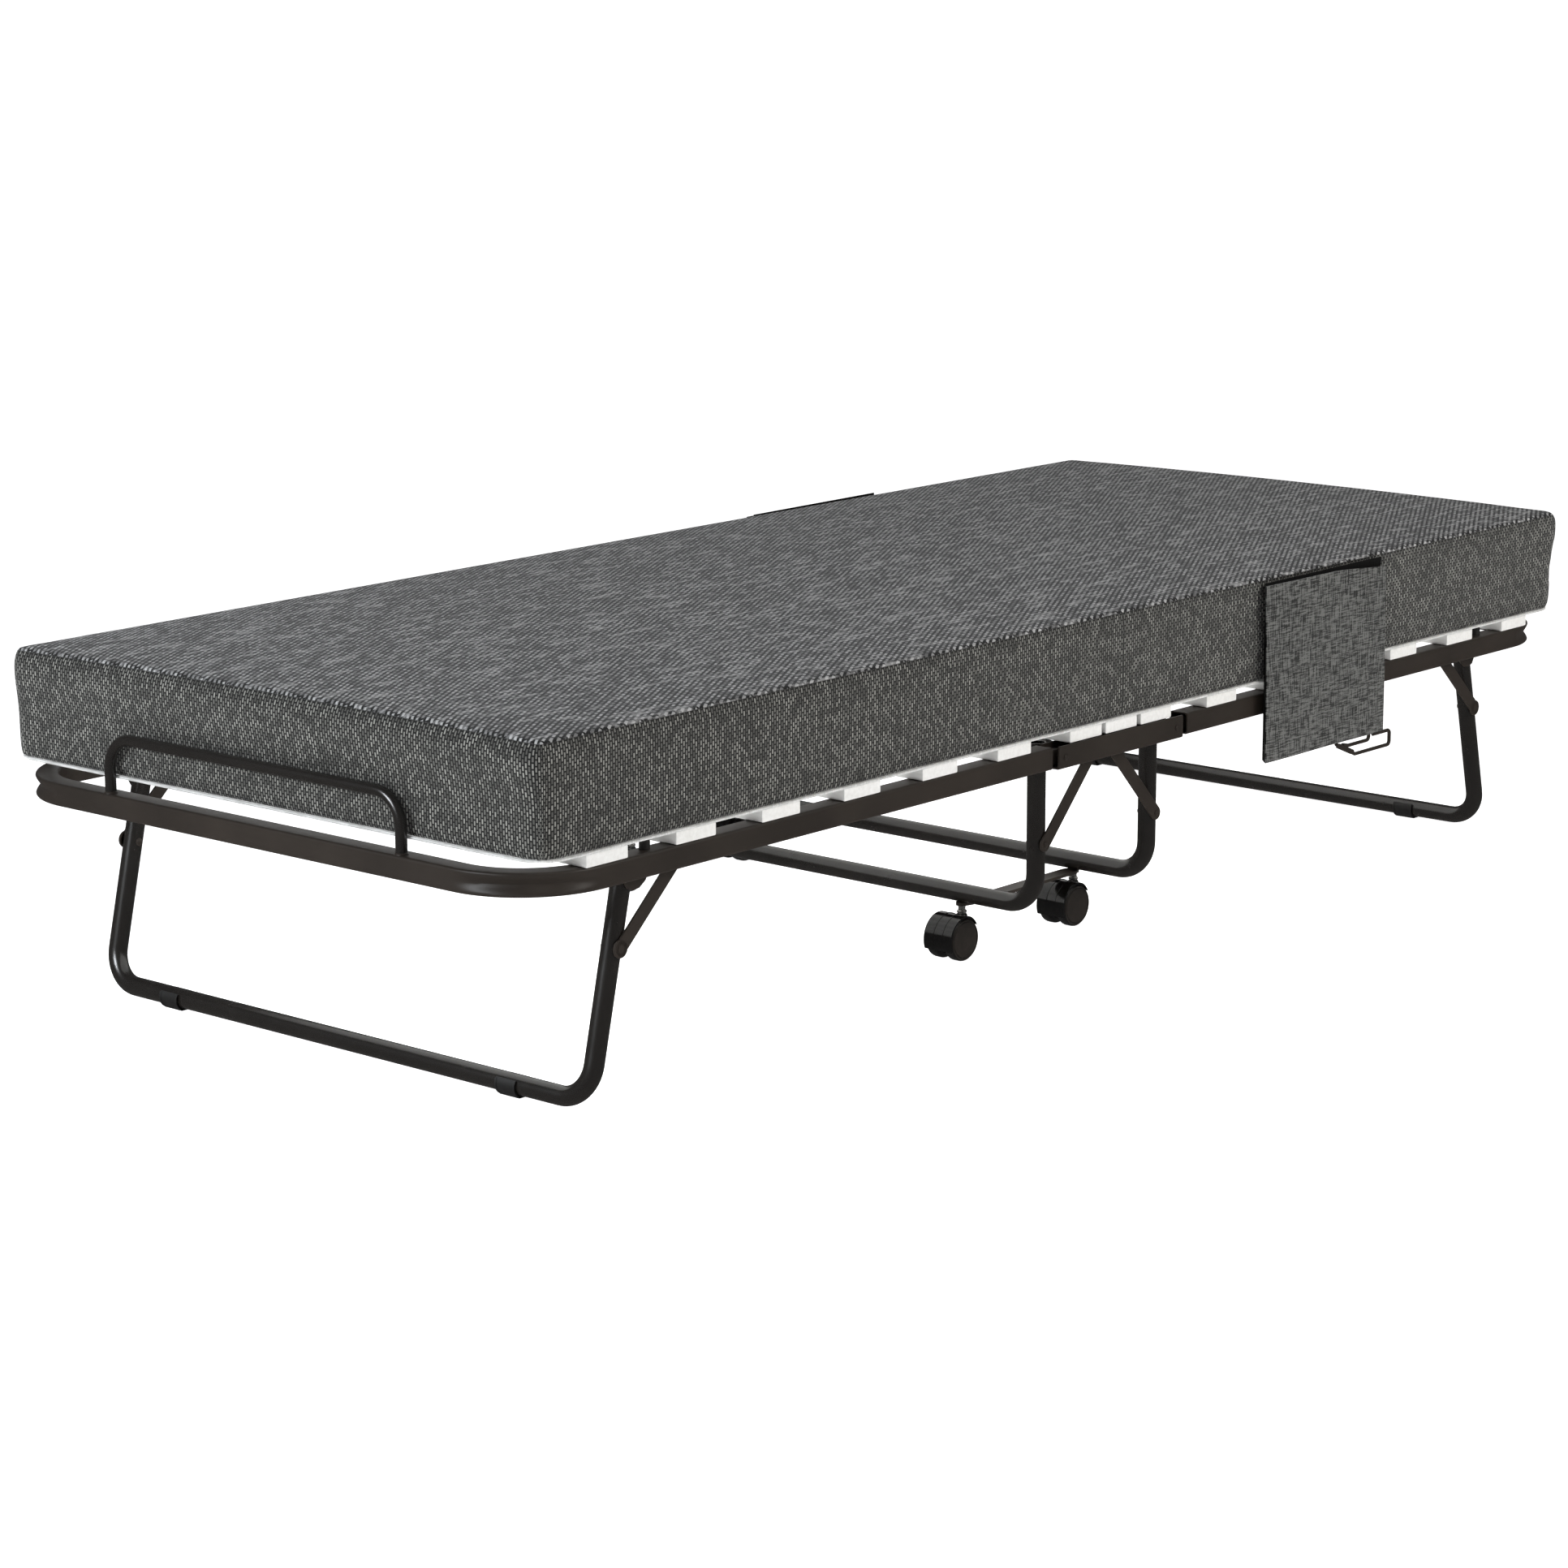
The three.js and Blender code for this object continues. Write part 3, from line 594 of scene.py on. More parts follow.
def build_rails():
    for name, end in ENDS.items():
        inset = HALF_LENGTH - RAIL_SIZE / 2
        corners = [
            (end * RAIL_END_X, -end * RAIL_MIDDLE, RAIL_MIDDLE_Z),
            (end * inset, -end * RAIL_MIDDLE, RAIL_MIDDLE_Z),
            (end * inset, end * RAIL_MIDDLE, RAIL_MIDDLE_Z),
            (end * RAIL_END_X, end * RAIL_MIDDLE, RAIL_MIDDLE_Z),
        ]
        tube = sweep(bent_path(corners, RAIL_BEND, 28), (0, 0, 1), rail_profile, 1.5, 26)
        piece(f"rail_tube_{name}", tube, STEEL, f"{name}_section", [f"rail_{name}"], 28)
        for side_name, side in SIDES.items():
            y = side * RAIL_MIDDLE
            outline = bar((end * HINGE[0], HINGE[1]), (end * (RAIL_END_X + 22), HINGE[1]), 17)
            tongue = extrude(outline, along_y, y - 4, y + 4)
            tag = f"{name}_{side_name}"
            piece(f"hinge_tongue_{tag}", tongue, STEEL, f"{name}_section", bevel=0.8)


build_rails()


# ---- slats ----
def build_slats():
    places = []
    for name, end in ENDS.items():
        for i in range(6):
            places.append((f"slat_{name}_{i + 1}", end * (840.5 - 129 * i), 59, f"{name}_section"))
    for i in (-1, 0, 1):
        places.append((f"slat_middle_{i + 2}", 66 * i, 58.5, "base"))
    for node_name, x, width, body in places:
        outline = rounded(x - width / 2, x + width / 2, SLAT_LOW, SLAT_HIGH, 1.6, 4)
        board = extrude(outline, along_y, -HALF_WIDTH, HALF_WIDTH)
        piece(f"lacquered_{node_name}", board, LACQUER, body, [node_name], 40, 0.9)


build_slats()


# ---- middle: channels, legs, braces, strips ----
def build_channels():
    outer, inner, low, top, wall = HALF_WIDTH + 1.5, HALF_WIDTH - RAIL_SIZE, 237.5, 263.7, 2.5
    radius = 2.4
    for name, side in SIDES.items():
        outline = [(outer, top), (outer - wall, top), (outer - wall, low + wall)]
        outline += [(inner + wall, low + wall), (inner + wall, top), (inner, top)]
        for cx, start in ((inner + radius, 1.0), (outer - radius, 1.5)):
            for i in range(7):
                angle = (start + i / 12) * math.pi
                outline.append((cx + radius * math.cos(angle), low + radius + radius * math.sin(angle)))
        shaped = [(side * a, b) for a, b in outline]
        shell = extrude(shaped, along_x, -CHANNEL_HALF_LENGTH, CHANNEL_HALF_LENGTH)
        piece(f"hinge_channel_{name}", shell, STEEL, "base", [f"channel_{name}"], 30, 0.5)
        for end_name, end in ENDS.items():
            x = end * HINGE[0]
            bolt = [rivet((x, side * outer, HINGE[1]), (0, side, 0), 3.0, 1.5)]
            bolt.append(rivet((x, side * inner, HINGE[1]), (0, -side, 0), 3.2, 2.2))
            bolt.append(rod(3, outer - inner, (x, side * inner, HINGE[1]), (0, side, 0)))
            piece(f"hinge_bolt_{end_name}_{name}", join(bolt), STEEL, "base")


def build_center_legs():
    for name, end in ENDS.items():
        x = end * HINGE[0]
        corners = [(x, -POST_Y, 262), (x, -POST_Y, CROSSBAR_Z), (x, POST_Y, CROSSBAR_Z), (x, POST_Y, 262)]
        shell = bent_tube(corners, (1, 0, 0), TUBE, TUBE_BEND)
        piece(f"center_leg_tube_{name}", shell, TUBE_STEEL, "base", [f"center_leg_{name}"])
        for side_name, side in SIDES.items():
            low, top = (x, 147), (end * 17, 240)
            flat = extrude(bar(low, top, 16), along_y, side * PLATE_INNER, side * PLATE_OUTER)
            node_name = f"center_brace_{name}_{side_name}"
            piece(f"flat_{node_name}", flat, STEEL, "base", [node_name], bevel=0.6)
            heads = [rivet((x, side * PLATE_OUTER, low[1]), (0, side, 0), 3.0, 1.6)]
            heads.append(rivet((x, side * (POST_Y - TUBE + 0.6), low[1]), (0, -side, 0), 3.6, 2.4))
            piece(f"rivets_{node_name}", join(heads), STEEL, "base")


def build_caster_strips():
    for name, side in SIDES.items():
        half = [(96, -10), (107, -7), (112, -3), (112, 3), (107, 7), (96, 10)]
        outline = [(a, side * STRIP_Y + b) for a, b in half + [(-a, -b) for a, b in half]]
        strip = extrude(outline, along_z, 59.3, 63)
        node_name = f"caster_strip_{name}"
        piece(f"flat_{node_name}", strip, STEEL, "base", [node_name], bevel=0.5)
        for end_name, end in ENDS.items():
            x = end * HINGE[0]
            washer = rod(5.2, 1, (x, side * STRIP_Y, 58.4), (0, 0, 1))
            piece(f"stem_washer_{end_name}_{name}", washer, PLATED, "base")


build_channels()
build_center_legs()
build_caster_strips()


# ---- casters ----
def build_casters():
    for end_name, end in ENDS.items():
        for side_name, side in SIDES.items():
            stem_x, y = end * HINGE[0], side * STRIP_Y
            x = stem_x - CASTER_TRAIL
            tag = f"{end_name}_{side_name}"
            build_hood(tag, x, y, stem_x)
            build_wheels(tag, x, y)


def arc(radius, low, high, steps, x, z):
    points = []
    for i in range(steps + 1):
        angle = math.radians(low + (high - low) * i / steps)
        points.append((x + radius * math.cos(angle), z + radius * math.sin(angle)))
    return points


def build_hood(tag, x, y, stem_x):
    body = f"caster_{tag}"
    shell_inner, shell_outer = WHEEL_RADIUS + 0.7, 27.4
    fender = []
    for i in range(37):
        angle = 34 + 169 * i / 36
        thick = 0.3 + (shell_outer - shell_inner - 0.3) * smoothstep((angle - 34) / 40)
        fender += arc(shell_inner + thick, angle, angle, 1, x, AXLE_Z)[:1]
    fender += arc(shell_inner, 34, 203, 36, x, AXLE_Z)[::-1]
    web = [(x, AXLE_Z)] + arc(26.9, 34, 203, 36, x, AXLE_Z)
    parts = [extrude(fender, along_y, y - WHEEL_HALF_TRACK, y + WHEEL_HALF_TRACK)]
    parts.append(extrude(web, along_y, y - 5.2, y + 5.2))
    stands_for = [f"caster_hood_{tag}"]
    piece(f"hood_shell_{tag}", join(parts), CASTER_PLASTIC, body, stands_for, 30, 0.9, 3)
    ridge = arc(27.9, 60, 196, 36, x, AXLE_Z) + arc(26.9, 60, 196, 36, x, AXLE_Z)[::-1]
    ribs = [extrude(ridge, along_y, y + s * 6.4 - 0.8, y + s * 6.4 + 0.8) for s in (-1, 1)]
    drum_profile = [(0, -5.3), (18.5, -5.3), (19, -4.8), (19, 4.8), (18.5, 5.3), (0, 5.3)]
    drum = lathe(drum_profile, (x, y, AXLE_Z), (0, 1, 0), 40)
    piece(f"hood_ribs_{tag}", join(ribs + [drum]), CASTER_PLASTIC, body, bevel=0.3)
    neck = [(0, 34), (6.4, 34), (6.4, 47.6), (5.8, 49.0), (4.8, 49.8), (0, 49.8)]
    turned_neck = lathe(neck, (stem_x, y, 0), (0, 0, 1), 36)
    piece(f"hood_neck_{tag}", turned_neck, CASTER_PLASTIC, body)
    stem = [(0, 45), (4, 45), (4, 50.6), (5.6, 50.8), (5.6, 53.2), (4.2, 53.4), (4.2, 58.6), (0, 58.6)]
    piece(f"caster_stem_{tag}", lathe(stem, (stem_x, y, 0), (0, 0, 1), 32), PLATED, body)


def build_wheels(tag, x, y):
    parts = []
    for s in (-1, 1):
        half = WHEEL_HALF_TRACK
        tread = [(0, 6.2), (15, 6.2), (16, 7), (22.6, 7), (24.2, 7.6), (24.6, 9), (24.6, half - 3.4)]
        tread += [(24.2, half - 1.6), (23.2, half - 0.7), (21.6, half - 0.5), (0, half - 0.5)]
        parts.append(lathe(tread, (x, y, AXLE_Z), (0, s, 0), 56))
    axle = lathe([(0, -7), (2.6, -7), (2.6, 7), (0, 7)], (x, y, AXLE_Z), (0, 1, 0), 20)
    body = f"wheels_{tag}"
    wheels = join(parts + [axle])
    piece(f"wheel_pair_{tag}", wheels, TREAD_PLASTIC, body, [f"caster_wheels_{tag}"])
    discs = []
    for s in (-1, 1):
        face = WHEEL_HALF_TRACK
        cap = [(0, face - 1.4), (23, face - 1.4), (23, face - 0.3), (22.6, face + 0.2), (21.8, face + 0.2)]
        cap += [(21.3, face - 0.7), (20.6, face - 0.7), (20.1, face), (12, face + 0.1), (0, face + 0.15)]
        discs.append(lathe(cap, (x, y, AXLE_Z), (0, s, 0), 56))
    piece(f"wheel_discs_{tag}", join(discs), DISC_PLASTIC, body)


build_casters()


# ---- end legs ----
def leg_point(end, across, down):
    """A point on a leg: across is Y, down is measured from the pivot along the splayed leg."""
    x = LEG_PIVOT[0] + down * math.sin(LEG_SPLAY)
    return (end * x, across, LEG_PIVOT[1] - down * math.cos(LEG_SPLAY))


def build_end_legs():
    for name, end in ENDS.items():
        corners = [
            leg_point(end, -POST_Y, -11),
            leg_point(end, -POST_Y, LEG_LENGTH),
            leg_point(end, POST_Y, LEG_LENGTH),
            leg_point(end, POST_Y, -11),
        ]
        normal = (math.cos(LEG_SPLAY), 0, end * math.sin(LEG_SPLAY))
        shell = bent_tube(corners, normal, TUBE, TUBE_BEND)
        piece(f"leg_tube_{name}", shell, TUBE_STEEL, f"{name}_leg", [f"leg_{name}"])
        for side_name, side in SIDES.items():
            build_leg_fittings(name, end, side_name, side)


def build_leg_fittings(name, end, side_name, side):
    tag = f"{name}_{side_name}"
    pivot = (end * LEG_PIVOT[0], LEG_PIVOT[1])
    tab = [(789, 262), (789, 231), (785, 224), (777, 221), (768, 222), (759, 228), (753, 237), (752, 262)]
    plate = extrude([(end * a, b) for a, b in tab], along_y, side * PLATE_INNER, side * PLATE_OUTER)
    node_name = f"leg_bracket_{tag}"
    piece(f"plate_{node_name}", plate, STEEL, f"{name}_section", [node_name], bevel=0.7)
    pin_end = POST_Y - TUBE - 1
    pin = rod(4, PLATE_INNER - pin_end + 1, (pivot[0], side * pin_end, pivot[1]), (0, side, 0))
    head = rivet((pivot[0], side * (pin_end + 0.5), pivot[1]), (0, -side, 0), 5.6, 3)
    stop = [(0, 0), (5.6, 0), (5.6, 9), (5.2, 10.6), (4.2, 11.6), (0, 12)]
    peg = lathe(stop, (end * 772, side * (RAIL_MIDDLE - 2), RAIL_TOP - 1), (0, 0, 1), 28)
    piece(f"leg_pin_{tag}", join([pin, head]), STEEL, f"{name}_section")
    piece(f"stop_peg_{tag}", peg, FOOT_PLASTIC, f"{name}_section")

    lug = leg_point(end, 0, LUG_DISTANCE)
    low, top = (lug[0], lug[2]), (end * 702, 251)
    flat = extrude(bar(low, top, 16), along_y, side * PLATE_INNER, side * PLATE_OUTER)
    eye = rod(9.6, PLATE_OUTER - PLATE_INNER, (low[0], side * PLATE_INNER, low[1]), (0, side, 0), 40)
    node_name = f"leg_brace_{tag}"
    brace = join([flat, eye])
    piece(f"flat_{node_name}", brace, STEEL, f"{name}_leg_braces", [node_name], bevel=0.6)
    # the outer head is flat, so that it passes inside the rail as the leg folds
    heads = [rod(4.4, 1.15, (low[0], side * (PLATE_OUTER - 1), low[1]), (0, side, 0))]
    heads.append(rivet((low[0], side * (POST_Y - TUBE + 0.6), low[1]), (0, -side, 0), 3.6, 2.4))
    piece(f"lug_rivet_{tag}", join(heads), STEEL, f"{name}_leg")
    build_foot_clip(name, end, tag, side)


def build_foot_clip(name, end, tag, side):
    x, y, z = leg_point(end, side * 256, LEG_LENGTH)
    inner, outer, half = TUBE + 0.25, TUBE + 2.2, 14
    open_from, open_to = math.radians(144), math.radians(396)
    steps = 30
    outline = []
    for i in range(steps + 1):
        angle = open_from + (open_to - open_from) * i / steps
        level = outer * math.sin(angle)
        on_sole = level < -outer * 0.88
        outline.append((x + outer * math.cos(angle), 0.0 if on_sole else z + level))
    for i in range(steps + 1):
        angle = open_to + (open_from - open_to) * i / steps
        outline.append((x + inner * math.cos(angle), z + inner * math.sin(angle)))
    clip = extrude(outline, along_y, y - half, y + half)
    node_name = f"foot_clip_{tag}"
    piece(f"moulded_{node_name}", clip, FOOT_PLASTIC, f"{name}_leg", [node_name], 35, 0.45)
    rims = []
    for s in (-1, 1):
        ring = arc(outer + 0.6, 150, 390, 30, x, z) + arc(inner, 150, 390, 30, x, z)[::-1]
        above_floor = [(a, max(b, 0.05)) for a, b in ring]
        middle = y + s * (half - 1.2)
        rims.append(extrude(above_floor, along_y, middle - 1.2, middle + 1.2))
    piece(f"rims_{node_name}", join(rims), FOOT_PLASTIC, f"{name}_leg", bevel=0.3)


build_end_legs()


# ---- mattress hoops ----
def build_hoops():
    for name, end in ENDS.items():
        x, foot, half = end * 942, RAIL_TOP + 0.2, 218.5
        corners = [(x, -half, foot), (x, -half, HOOP_TOP), (x, half, HOOP_TOP), (x, half, foot)]
        shell = bent_tube(corners, (1, 0, 0), HOOP_TUBE, 34, 24, 14, 0)
        piece(f"hoop_tube_{name}", shell, TUBE_STEEL, f"{name}_section", [f"hoop_{name}"])
        beads = [weld_bead((x, side * half, foot), (0, 0, 1), HOOP_TUBE) for side in (-1, 1)]
        piece(f"hoop_welds_{name}", join(beads), STEEL, f"{name}_section")


build_hoops()


# ---- mattress ----
def mattress_outline(z, pull):
    """The block's outline at a level. It leans out above the hoops, and its corners are rounder below."""
    lean = smoothstep((z - HOOP_TOP - HOOP_TUBE) / 45)
    corner = CORNER_LOW + (CORNER_HIGH - CORNER_LOW) * smoothstep((z - MATTRESS_LOW) / 55)
    pull += FOAM_SWELL
    left = -MATTRESS_END - MATTRESS_FLARE["foot"] * lean + pull
    right = MATTRESS_END + MATTRESS_FLARE["head"] * lean - pull
    near, far = MATTRESS_Y
    return rounded(left, right, near + pull, far - pull, corner - pull * 0.6, 10)


def mattress_block():
    """A foam block with rounded upright corners and softened edges, smaller than the cover by its swell."""
    low, top = MATTRESS_LOW + FOAM_SWELL * 0.3, MATTRESS_TOP - FOAM_SWELL
    edge, low_edge = 5, 2
    levels = []
    for i in range(5):
        angle = i / 4 * math.pi / 2
        levels.append((low + low_edge * (1 - math.cos(angle)), low_edge * (1 - math.sin(angle))))
    for i in range(1, 12):
        levels.append((low + low_edge + (top - edge - low - low_edge) * i / 12, 0.0))
    for i in range(9):
        angle = i / 8 * math.pi / 2
        levels.append((top - edge + edge * math.sin(angle), edge * (1 - math.cos(angle))))
    return loft([[Vector((a, b, z)) for a, b in mattress_outline(z, pull)] for z, pull in levels])


def evaluated_mesh(obj):
    graph = bpy.context.evaluated_depsgraph_get()
    return bpy.data.meshes.new_from_object(obj.evaluated_get(graph), depsgraph=graph)


def coordinates(mesh):
    points = np.zeros(len(mesh.vertices) * 3)
    mesh.vertices.foreach_get("co", points)
    return points.reshape(-1, 3)


def inflated(obj):
    """Where the cover lies once the foam has swollen inside it; no point goes further than the swell."""
    start = coordinates(obj.data)
    cloth = obj.modifiers.new("cover", "CLOTH")
    cloth.settings.quality = 4
    cloth.settings.mass = 0.3
    cloth.settings.tension_stiffness = 5
    cloth.settings.compression_stiffness = 5
    cloth.settings.shear_stiffness = 2
    cloth.settings.bending_stiffness = 0.5
    cloth.settings.use_pressure = True
    cloth.settings.uniform_pressure_force = 4
    cloth.settings.effector_weights.gravity = 0
    cloth.collision_settings.use_collision = False
    cloth.collision_settings.use_self_collision = False
    scene = bpy.context.scene
    for number in range(1, 21):
        scene.frame_set(number)
    graph = bpy.context.evaluated_depsgraph_get()
    moved = coordinates(obj.evaluated_get(graph).data)
    obj.modifiers.remove(cloth)
    scene.frame_set(1)
    step = moved - start
    length = np.linalg.norm(step, axis=1, keepdims=True)
    return start + step * np.minimum(1.0, FOAM_SWELL * MM / np.maximum(length, 1e-9))


def around_distance(points, end):
    """Distance round the side of one half of the mattress, from the middle of its end."""
    near, far = MATTRESS_Y
    corner = CORNER_HIGH * MM
    straight = (far - near) / 2 * MM - corner
    across = points[:, 1] - (near + far) / 2 * MM
    out = points[:, 0] * end - (MATTRESS_END * MM - corner)
    past = np.abs(across) - straight
    in_corner = straight + corner * np.arctan2(np.maximum(past, 0), np.maximum(out, 1e-9))
    on_side = straight + corner * math.pi / 2 - out
    distance = np.where(out <= 0, on_side, np.where(past <= 0, np.abs(across), in_corner))
    return distance * np.sign(across)


def build_mattress():
    block = piece("mattress_start", mattress_block(), COVER)
    remesh = block.modifiers.new("voxels", "REMESH")
    remesh.mode = "VOXEL"
    remesh.voxel_size = COVER_VOXEL * MM
    remesh.use_smooth_shade = True
    mesh = evaluated_mesh(block)
    bpy.data.objects.remove(block)
    whole = new_object("mattress_whole", mesh)
    final = inflated(whole)
    mesh.vertices.foreach_set("co", final.ravel())
    mesh.update()
    smooth = whole.modifiers.new("even", "SMOOTH")
    smooth.factor = 0.5
    smooth.iterations = 1
    finer = whole.modifiers.new("finer", "SUBSURF")
    finer.levels = 1
    finer.render_levels = 1
    mesh = evaluated_mesh(whole)
    bpy.data.objects.remove(whole)
    points = coordinates(mesh)
    points[:, 2] = np.clip(points[:, 2], (MATTRESS_LOW + 0.1) * MM, (MATTRESS_TOP + 1) * MM)
    mesh.vertices.foreach_set("co", points.ravel())
    for name, end in ENDS.items():
        build_half(name, end, mesh)
        build_piping(name, end)


def tilted(points):
    """The top is crowned, and rises a little from the foot end to the head end; the base stays level."""
    near, far = MATTRESS_Y
    share = (points[:, 2] / MM - MATTRESS_LOW) / (MATTRESS_TOP - MATTRESS_LOW)
    across = (2 * points[:, 1] / MM - near - far) / (far - near)
    crown = MATTRESS_CROWN * MM * np.clip(1 - across**2, 0, 1)
    raised = points.copy()
    raised[:, 2] += share * (crown + MATTRESS_TILT * points[:, 0] / MATTRESS_END)
    return raised


def build_half(name, end, whole):
    work = bmesh.new()
    work.from_mesh(whole)
    everything = list(work.verts) + list(work.edges) + list(work.faces)
    plane = {"plane_co": (0, 0, 0), "plane_no": (end, 0, 0), "clear_inner": True}
    bmesh.ops.bisect_plane(work, geom=everything, dist=1e-6, **plane)
    rim = [e for e in work.edges if e.is_boundary]
    for e in rim:
        e.smooth = False
    made = bmesh.ops.contextual_create(work, geom=rim)
    bmesh.ops.triangulate(work, faces=made["faces"])
    bmesh.ops.recalc_face_normals(work, faces=work.faces)
    mesh = bpy.data.meshes.new(f"mattress_{name}_half")
    work.to_mesh(mesh)
    work.free()
    mesh.polygons.foreach_set("use_smooth", [True] * len(mesh.polygons))
    points = coordinates(mesh)
    rest = mesh.attributes.new("rest", "FLOAT_VECTOR", "POINT")
    rest.data.foreach_set("vector", points.ravel())
    around = mesh.attributes.new("around", "FLOAT", "POINT")
    around.data.foreach_set("value", around_distance(points, end).astype(np.float32))
    mesh.vertices.foreach_set("co", tilted(points).ravel())
    mesh.materials.clear()
    mesh.materials.append(COVER)
    half = new_object(f"mattress_{name}_half", mesh)
    bend_over_hinge(half)
    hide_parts(f"mattress_{name}", "mattress_middle")


def build_piping(name, end):
    """The pale cord round the foot of the cover, from the middle of the near side to that of the far side."""
    level = MATTRESS_LOW + PIPING_RADIUS + 0.1
    near, far = MATTRESS_Y[0] + 2.1, MATTRESS_Y[1] - 2.1
    centre_x = MATTRESS_END - PIPING_RADIUS - PIPING_CORNER
    along = [0, *range(20, 200, 12)]
    line = [(x, near) for x in along]
    for centre_y, start in ((near + PIPING_CORNER, -0.5), (far - PIPING_CORNER, 0)):
        for i in range(13):
            angle = (start + i / 24) * math.pi
            across = centre_y + PIPING_CORNER * math.sin(angle)
            line.append((centre_x + PIPING_CORNER * math.cos(angle), across))
    line += [(x, far) for x in reversed(along)]
    line = [Vector((end * x, y, level)) for x, y in line]
    stations = []
    for i, point in enumerate(line):
        ahead, behind = line[min(i + 1, len(line) - 1)], line[max(i - 1, 0)]
        stations.append((point, (ahead - behind).normalized(), 0.0))
    profile = circle(PIPING_RADIUS, 12)
    cord = piece(f"mattress_piping_{name}", sweep(stations, (0, 0, 1), lambda share: profile), PIPING)
    bend_over_hinge(cord)


def bend_over_hinge(obj):
    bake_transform(obj)


build_mattress()


# ---- side pockets ----
def panel(side, left, right, low, high, columns, rows, depth_at, top_at, thickness):
    """A hanging panel of cloth. depth_at is its distance from the bed's middle, top_at its top edge."""
    grids = []
    for offset in (0, thickness):
        grid = []
        for j in range(rows + 1):
            for i in range(columns + 1):
                s, t = i / columns, j / rows
                x = left + (right - left) * s
                z = low + (top_at(s) - low) * t
                grid.append(Vector((x, side * (depth_at(s, t) + offset), z)))
        grids.append(grid)
    points = grids[0] + grids[1]
    count = len(grids[0])
    faces = []
    for j in range(rows):
        for i in range(columns):
            a = j * (columns + 1) + i
            quad = (a, a + 1, a + columns + 2, a + columns + 1)
            faces.append(quad)
            faces.append(tuple(count + k for k in quad[::-1]))
    rim = list(range(columns + 1))
    rim += [j * (columns + 1) + columns for j in range(1, rows + 1)]
    rim += [rows * (columns + 1) + i for i in range(columns - 1, -1, -1)]
    rim += [j * (columns + 1) for j in range(rows - 1, 0, -1)]
    for a, b in zip(rim, rim[1:] + rim[:1]):
        faces.append((a, b, count + b, count + a))
    return points, faces


def build_pockets():
    for name, side in SIDES.items():
        shift = POCKET_SHIFT[name]
        left, right = POCKET_X[0] + shift, POCKET_X[1] + shift
        low, high = POCKET_Z

        def front_depth(s, t):
            drawn_in = (4.6 - 2.2 * s) * t * t
            ripple = 0.6 * math.sin(9 * s + 2.2 * t) * math.sin(5 * t + 1)
            edge = min(1.0, 8 * min(s, 1 - s))
            return POCKET_PLANE + 9.4 - drawn_in + ripple * edge

        def back_depth(s, t):
            return POCKET_PLANE

        def front_top(s):
            return high - 6 * smoothstep((s - 0.55) / 0.45)

        front = panel(side, left, right, low, high, 48, 40, front_depth, front_top, 1.3)
        stands_for = [f"pocket_{name}"]
        cloth = piece(
            f"pocket_front_{name}", front, POCKET_FRONT, "head_section", stands_for, 60
        )

        def back_top(s):
            return high + 2.2 + 1.5 * s

        # the back panel lies in the gap against the mattress; its near-black is partly its own dark cloth and
        # partly painted shade of that gap
        back = panel(side, left + 8, right, low + 1, high + 3, 24, 20, back_depth, back_top, 1.2)
        lining_and_painted_shade = piece(f"pocket_back_{name}", back, POCKET_BLACK_AND_SHADE, "head_section", (), 60)
        build_pocket_gussets(name, side, left, right, low, high)
        build_pocket_wire(name, side, 250 + shift, low)


def build_pocket_gussets(name, side, left, right, low, high):
    """Black strips that close the pocket at its two ends and along its foot."""
    inner, outer = side * (POCKET_PLANE + 1.2), side * (POCKET_PLANE + 9.6)
    narrow = side * (POCKET_PLANE + 4.9)
    strips = []
    for x, wide, turned in ((left, narrow, 8), (right - 1, side * (POCKET_PLANE + 6.8), 0)):
        low_ring = [(x + turned, inner), (x + turned + 1, inner), (x + 1, outer), (x, outer)]
        high_ring = [(x + turned, inner), (x + turned + 1, inner), (x + 1, wide), (x, wide)]
        foot_points = [Vector((a, b, low)) for a, b in low_ring]
        mouth_points = [Vector((a, b, high - 10)) for a, b in high_ring]
        strips.append(loft([foot_points, mouth_points]))
    foot = [(left + 9, inner), (right - 1, inner), (right - 1, outer), (left + 1, outer)]
    strips.append(extrude(foot, along_z, low, low + 1))
    piece(f"pocket_gussets_{name}", join(strips), POCKET_BLACK_AND_SHADE, "head_section")


def build_pocket_wire(name, side, left, low):
    y = side * (POCKET_PLANE + 5.6)
    hem = low - 0.3
    outer = [(170, hem - 2.5 - low), (211, -21), (287, -21), (287, -3), (250, -3)]
    inner = [(184, -5.5), (196, -8.2), (241, -8.2), (241, hem - low)]
    parts = []
    for line in (outer, inner):
        corners = [(left + a, y, low + b) for a, b in line]
        parts.append(bent_tube(corners, (0, 1, 0), 2.2, 4.5, 14, 6, 0))
    strap = bar((left + 175, low - 5.5), (left + 205, low - 17.5), 6)
    parts.append(extrude(strap, along_y, y - 1.6, y + 1.6))
    node_name = f"pocket_wire_{name}"
    piece(f"bent_{node_name}", join(parts), STEEL, "head_section", [node_name])


build_pockets()


# ---- floor, lights, camera ----
def build_backdrop(finish):
    """White walls far off, which neither light the bed nor show in its gloss."""
    reach, height = 60, 60
    corners = [(-reach, -reach), (reach, -reach), (reach, reach), (-reach, reach)]
    points = [(x, y, z) for z in (-0.001, height) for x, y in corners]
    faces = [(i, (i + 1) % 4, 4 + (i + 1) % 4, 4 + i) for i in range(4)]
    mesh = bpy.data.meshes.new("backdrop")
    mesh.from_pydata(points, [], faces)
    mesh.materials.append(finish)
    walls = new_object("backdrop", mesh)
    walls.visible_diffuse = False
    walls.visible_glossy = False
    walls.visible_shadow = False


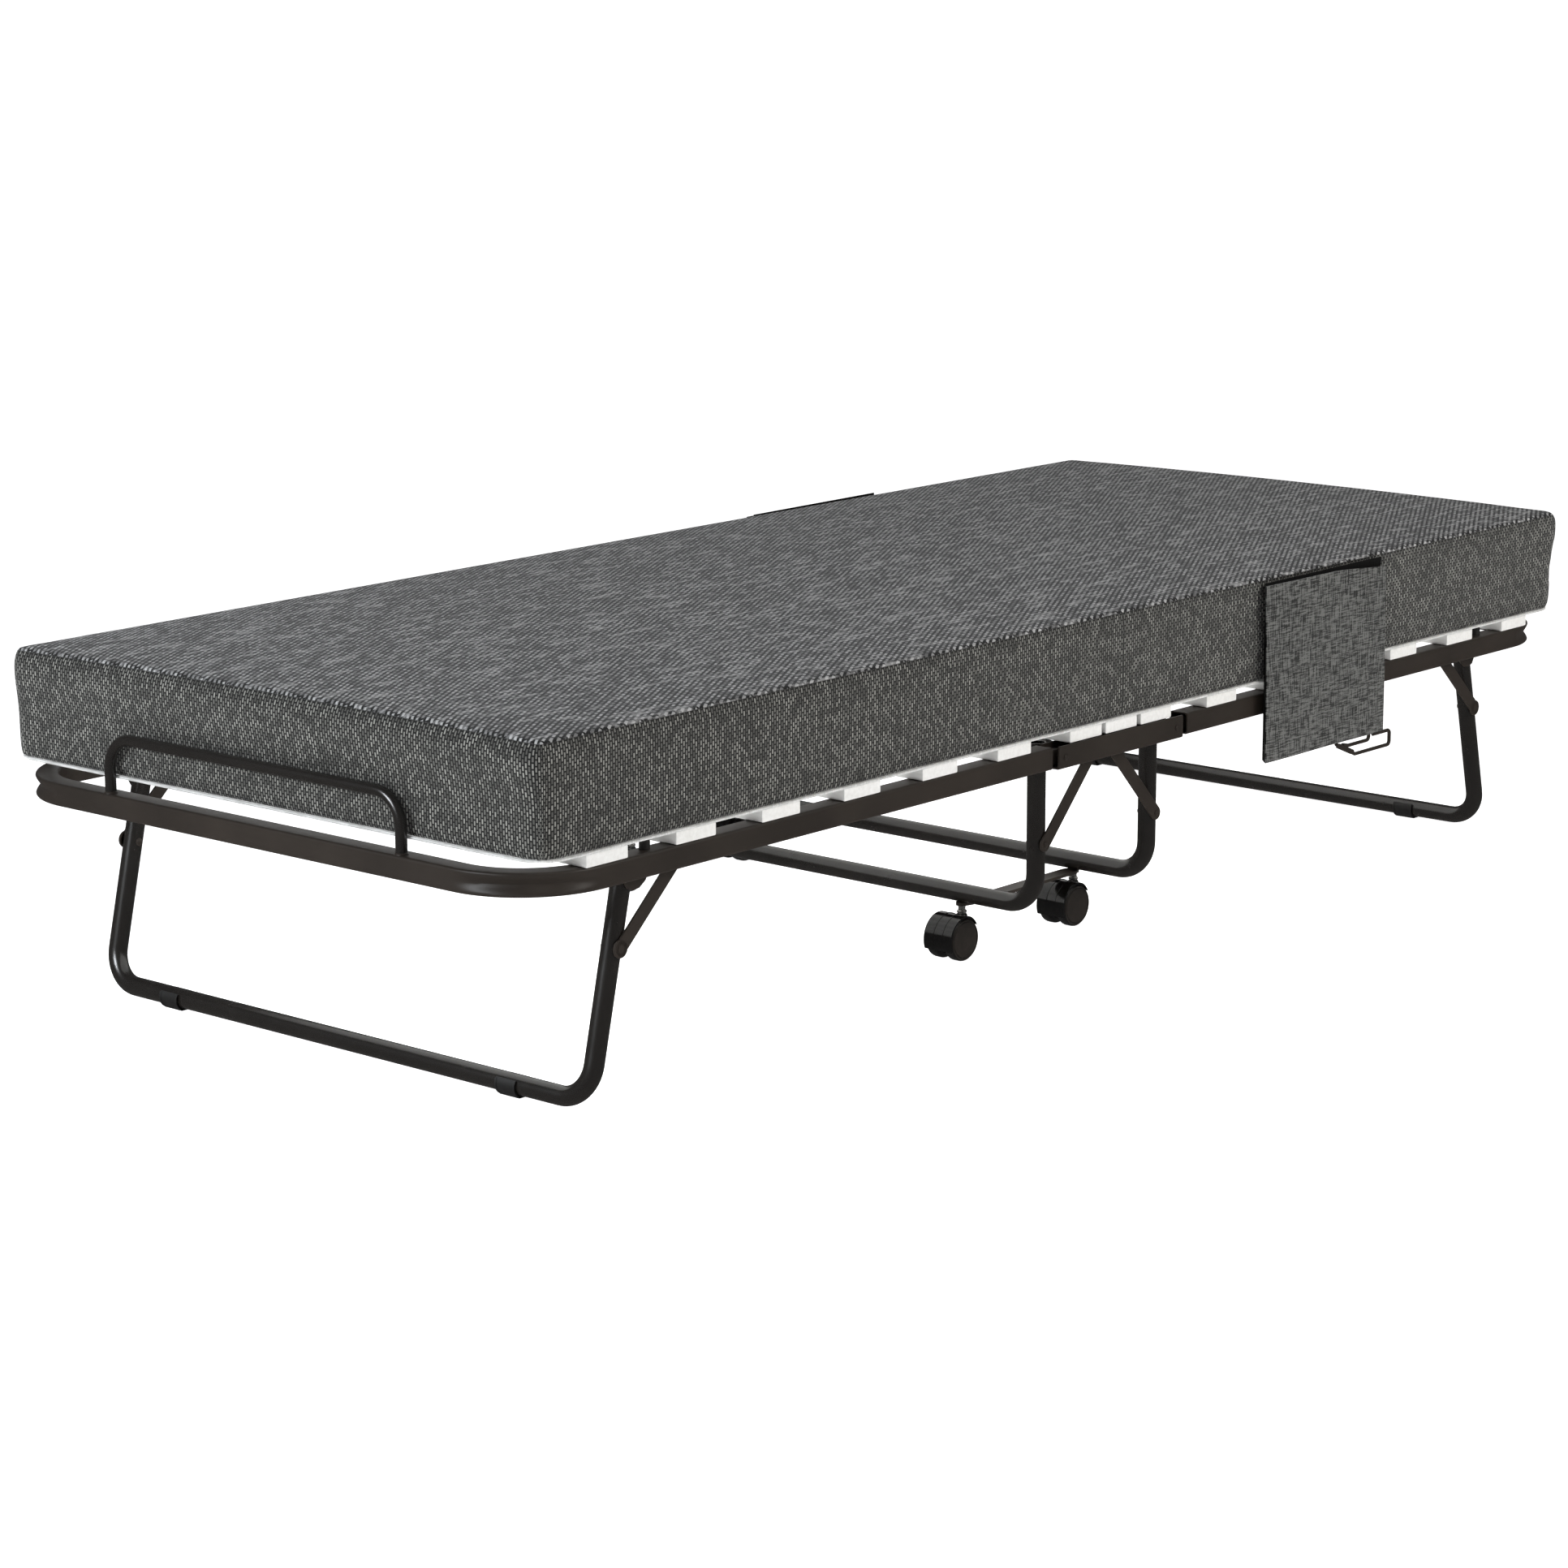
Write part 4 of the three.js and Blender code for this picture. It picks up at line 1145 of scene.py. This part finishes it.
def build_stage():
    size = 100
    mesh = bpy.data.meshes.new("floor")
    corners = [(-size, -size, 0), (size, -size, 0), (size, size, 0), (-size, size, 0)]
    mesh.from_pydata(corners, [], [(0, 1, 2, 3)])
    floor = new_object("floor", mesh)
    floor.location.z = -0.0004
    finish = floor_finish()
    mesh.materials.append(finish)
    floor.visible_glossy = False
    build_backdrop(finish)
    world = bpy.data.worlds.new("studio")
    bpy.context.scene.world = world
    world.use_nodes = True
    background = world.node_tree.nodes["Background"]
    background.inputs["Color"].default_value = (1.0, 1.0, 1.0, 1)
    background.inputs["Strength"].default_value = 0.10


def add_area(name, location, target, size, power, color):
    data = bpy.data.lights.new(name, "AREA")
    data.shape = "RECTANGLE"
    data.size, data.size_y = size
    data.energy = power
    data.color = color
    light = new_object(name, data)
    light.location = location
    light.rotation_mode = "QUATERNION"
    light.rotation_quaternion = (Vector(target) - Vector(location)).to_track_quat("-Z", "Y")
    return light


def build_camera():
    """Set by the bed's own straight edges: from the near foot corner, a little above it."""
    yaw, pitch, roll = 0.85709, 0.21491, -0.00351
    forward = Vector((math.sin(yaw) * math.cos(pitch), math.cos(yaw) * math.cos(pitch), -math.sin(pitch)))
    level = Vector((math.cos(yaw), -math.sin(yaw), 0))
    upward = level.cross(forward)
    right = level * math.cos(roll) + upward * math.sin(roll)
    up = upward * math.cos(roll) - level * math.sin(roll)
    data = bpy.data.cameras.new("camera")
    data.sensor_width = 36
    data.lens = 94.5
    data.clip_start, data.clip_end = 0.1, 300
    camera = new_object("camera", data)
    turn = Matrix((right, up, -forward)).transposed().to_4x4()
    camera.matrix_world = Matrix.Translation((-3.6662, -3.0740, 1.1907)) @ turn
    bpy.context.scene.camera = camera


build_stage()
add_area("key", (0.9, -3.6, 2.2), (0, 0, 0.2), (1.6, 1.2), 64, (1.0, 0.97, 0.93))
add_area("fill", (-4.0, 0.5, 1.8), (0, 0, 0.2), (1.4, 1.2), 96, (0.92, 0.96, 1.0))
build_camera()
bpy.context.scene.view_settings.view_transform = "Standard"
